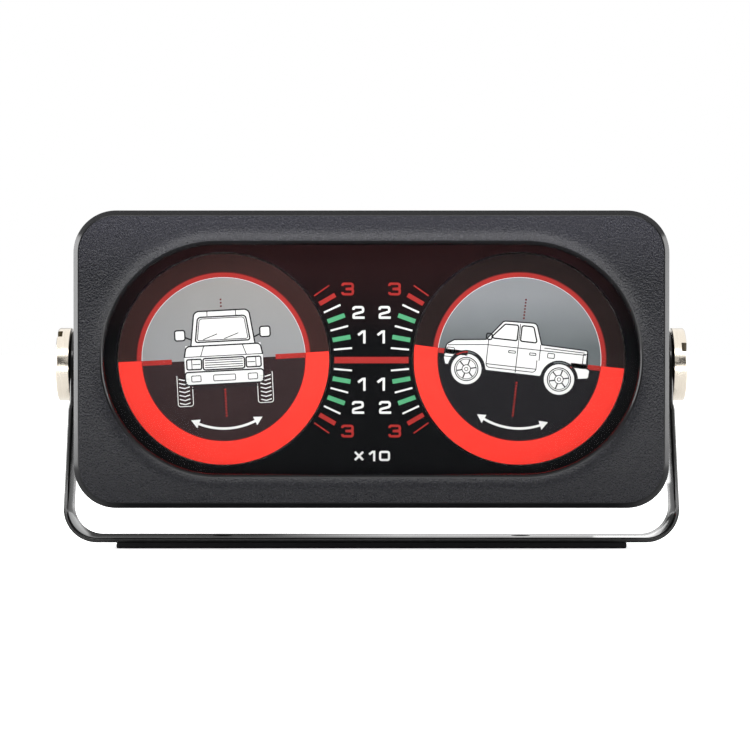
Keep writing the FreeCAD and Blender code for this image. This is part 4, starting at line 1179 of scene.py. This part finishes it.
def makeFloor():
    # a level grid of points; white to the camera, but dim to the object's reflections, save for
    # a strip in front of the object, which is brightest at its far part, and both sides
    s = studio
    spread = np.linspace(-s["floorSize"], s["floorSize"], 9)
    x, y = np.meshgrid(spread, spread)
    points = np.stack([x, y, np.full_like(x, -s["floorDrop"])], -1)
    mesh = bpy.data.meshes.new("studioFloor")
    mesh.from_pydata((points.reshape(-1, 3) * mm).tolist(), [], gridFaces(9, 9))
    paper = makeFinish("palePaper", (240, 240, 240), (246, 246, 246), patch=80,
                       rough=(0.85, 0.95), grain=2, depth=0.01, glowColour=(1, 1, 1, 1))
    shader, links = paper.node_tree.nodes["Principled BSDF"], paper.node_tree.links
    split = addNode(paper, "SeparateXYZ")
    links.new(addNode(paper, "TexCoord").outputs["Object"], split.inputs["Vector"])
    aside, along = mathNode(paper, "ABSOLUTE", split.outputs["X"]), split.outputs["Y"]
    sides = stepNode(paper, aside, *s["sideStep"], 0.0, s["floorSides"])
    near = stepNode(paper, along, *s["nearStep"], s["floorFront"], s["floorMiddle"])
    far = stepNode(paper, along, *s["farStep"], 0.0, s["floorFront"])
    below = stepNode(paper, along, *s["belowStep"], s["floorFront"], 0.0)
    glow = mathNode(paper, "MAXIMUM", sides, mathNode(paper, "MINIMUM", near, far, below))
    links.new(cameraNode(paper, glow, s["floorWhite"]), shader.inputs["Emission Strength"])
    tones = shader.inputs["Base Color"].links[0].from_socket
    dim = addNode(paper, "VectorMath")
    dim.operation = "SCALE"
    links.new(tones, dim.inputs["Vector"])
    eye = addNode(paper, "LightPath").outputs["Is Camera Ray"]
    links.new(stepNode(paper, eye, 0.0, 1.0, s["floorOthers"], 1.0), dim.inputs["Scale"])
    links.new(dim.outputs["Vector"], shader.inputs["Base Color"])
    mesh.materials.append(paper)
    placeObject("studioFloor", mesh)


def makeWorld():
    # White to the eye. For light and reflections it is white too, but for a dim zone behind the
    # reader with a lit panel in its middle, and a band low behind the object that is dim at its
    # left half; each is worked out from steps along the direction's x, y and z.
    s = surround
    world = bpy.data.worlds.new("studio")
    world.use_nodes = True
    bpy.context.scene.world = world
    background = world.node_tree.nodes["Background"]
    split = addNode(world, "SeparateXYZ")
    direction = addNode(world, "TexCoord").outputs["Generated"]
    world.node_tree.links.new(direction, split.inputs["Vector"])
    x, y, z = (split.outputs[axis] for axis in "XYZ")
    panel = mathNode(
        world, "MINIMUM",
        stepNode(world, z, *s["panelBottom"], 0.0, 1.0),
        stepNode(world, z, *s["panelTop"], 1.0, 0.0))
    middle = stepNode(world, mathNode(world, "ABSOLUTE", x), *s["panelSides"], s["panelLight"], 0.0)
    ahead = stepNode(world, y, *s["panelAhead"], 1.0, 0.0)
    zone = mathNode(
        world, "MAXIMUM",
        stepNode(world, y, *s["zoneSides"], 0.0, 1.0),
        stepNode(world, z, *s["zoneTop"], s["zoneLight"], 1.0),
        mathNode(world, "MULTIPLY", middle, panel, ahead))
    band = mathNode(
        world, "MAXIMUM",
        stepNode(world, y, *s["bandFront"], 1.0, 0.0),
        stepNode(world, z, *s["bandTop"], 0.0, 1.0),
        stepNode(world, x, *s["bandMiddle"], s["bandLeft"], s["bandRight"]))
    zenith = stepNode(world, z, *s["zenithStep"], 1.0, s["zenithLight"])
    both = mathNode(world, "MULTIPLY", zone, band, zenith)
    world.node_tree.links.new(cameraNode(world, both, 1.0), background.inputs["Strength"])
    background.inputs["Color"].default_value = (1, 1, 1, 1)


def addLight(name, place, target, size, power):
    # a rectangle turned so that its face looks along the line from its place to the target
    light = bpy.data.lights.new(name, "AREA")
    light.shape = "RECTANGLE"
    light.size, light.size_y = size[0] * mm, size[1] * mm
    light.energy = power
    holder = placeObject(name, light)
    ahead = np.array(target, float) - np.array(place, float)
    holder.location = tuple(np.array(place) * mm)
    yaw = atan2(ahead[0], ahead[1])
    pitch = atan2(ahead[2], hypot(ahead[0], ahead[1]))
    holder.rotation_euler = (pi / 2 + pitch, 0, -yaw)


makeFloor()
makeWorld()
for name, values in lamps.items():
    addLight(name, **values)
print("stage set")
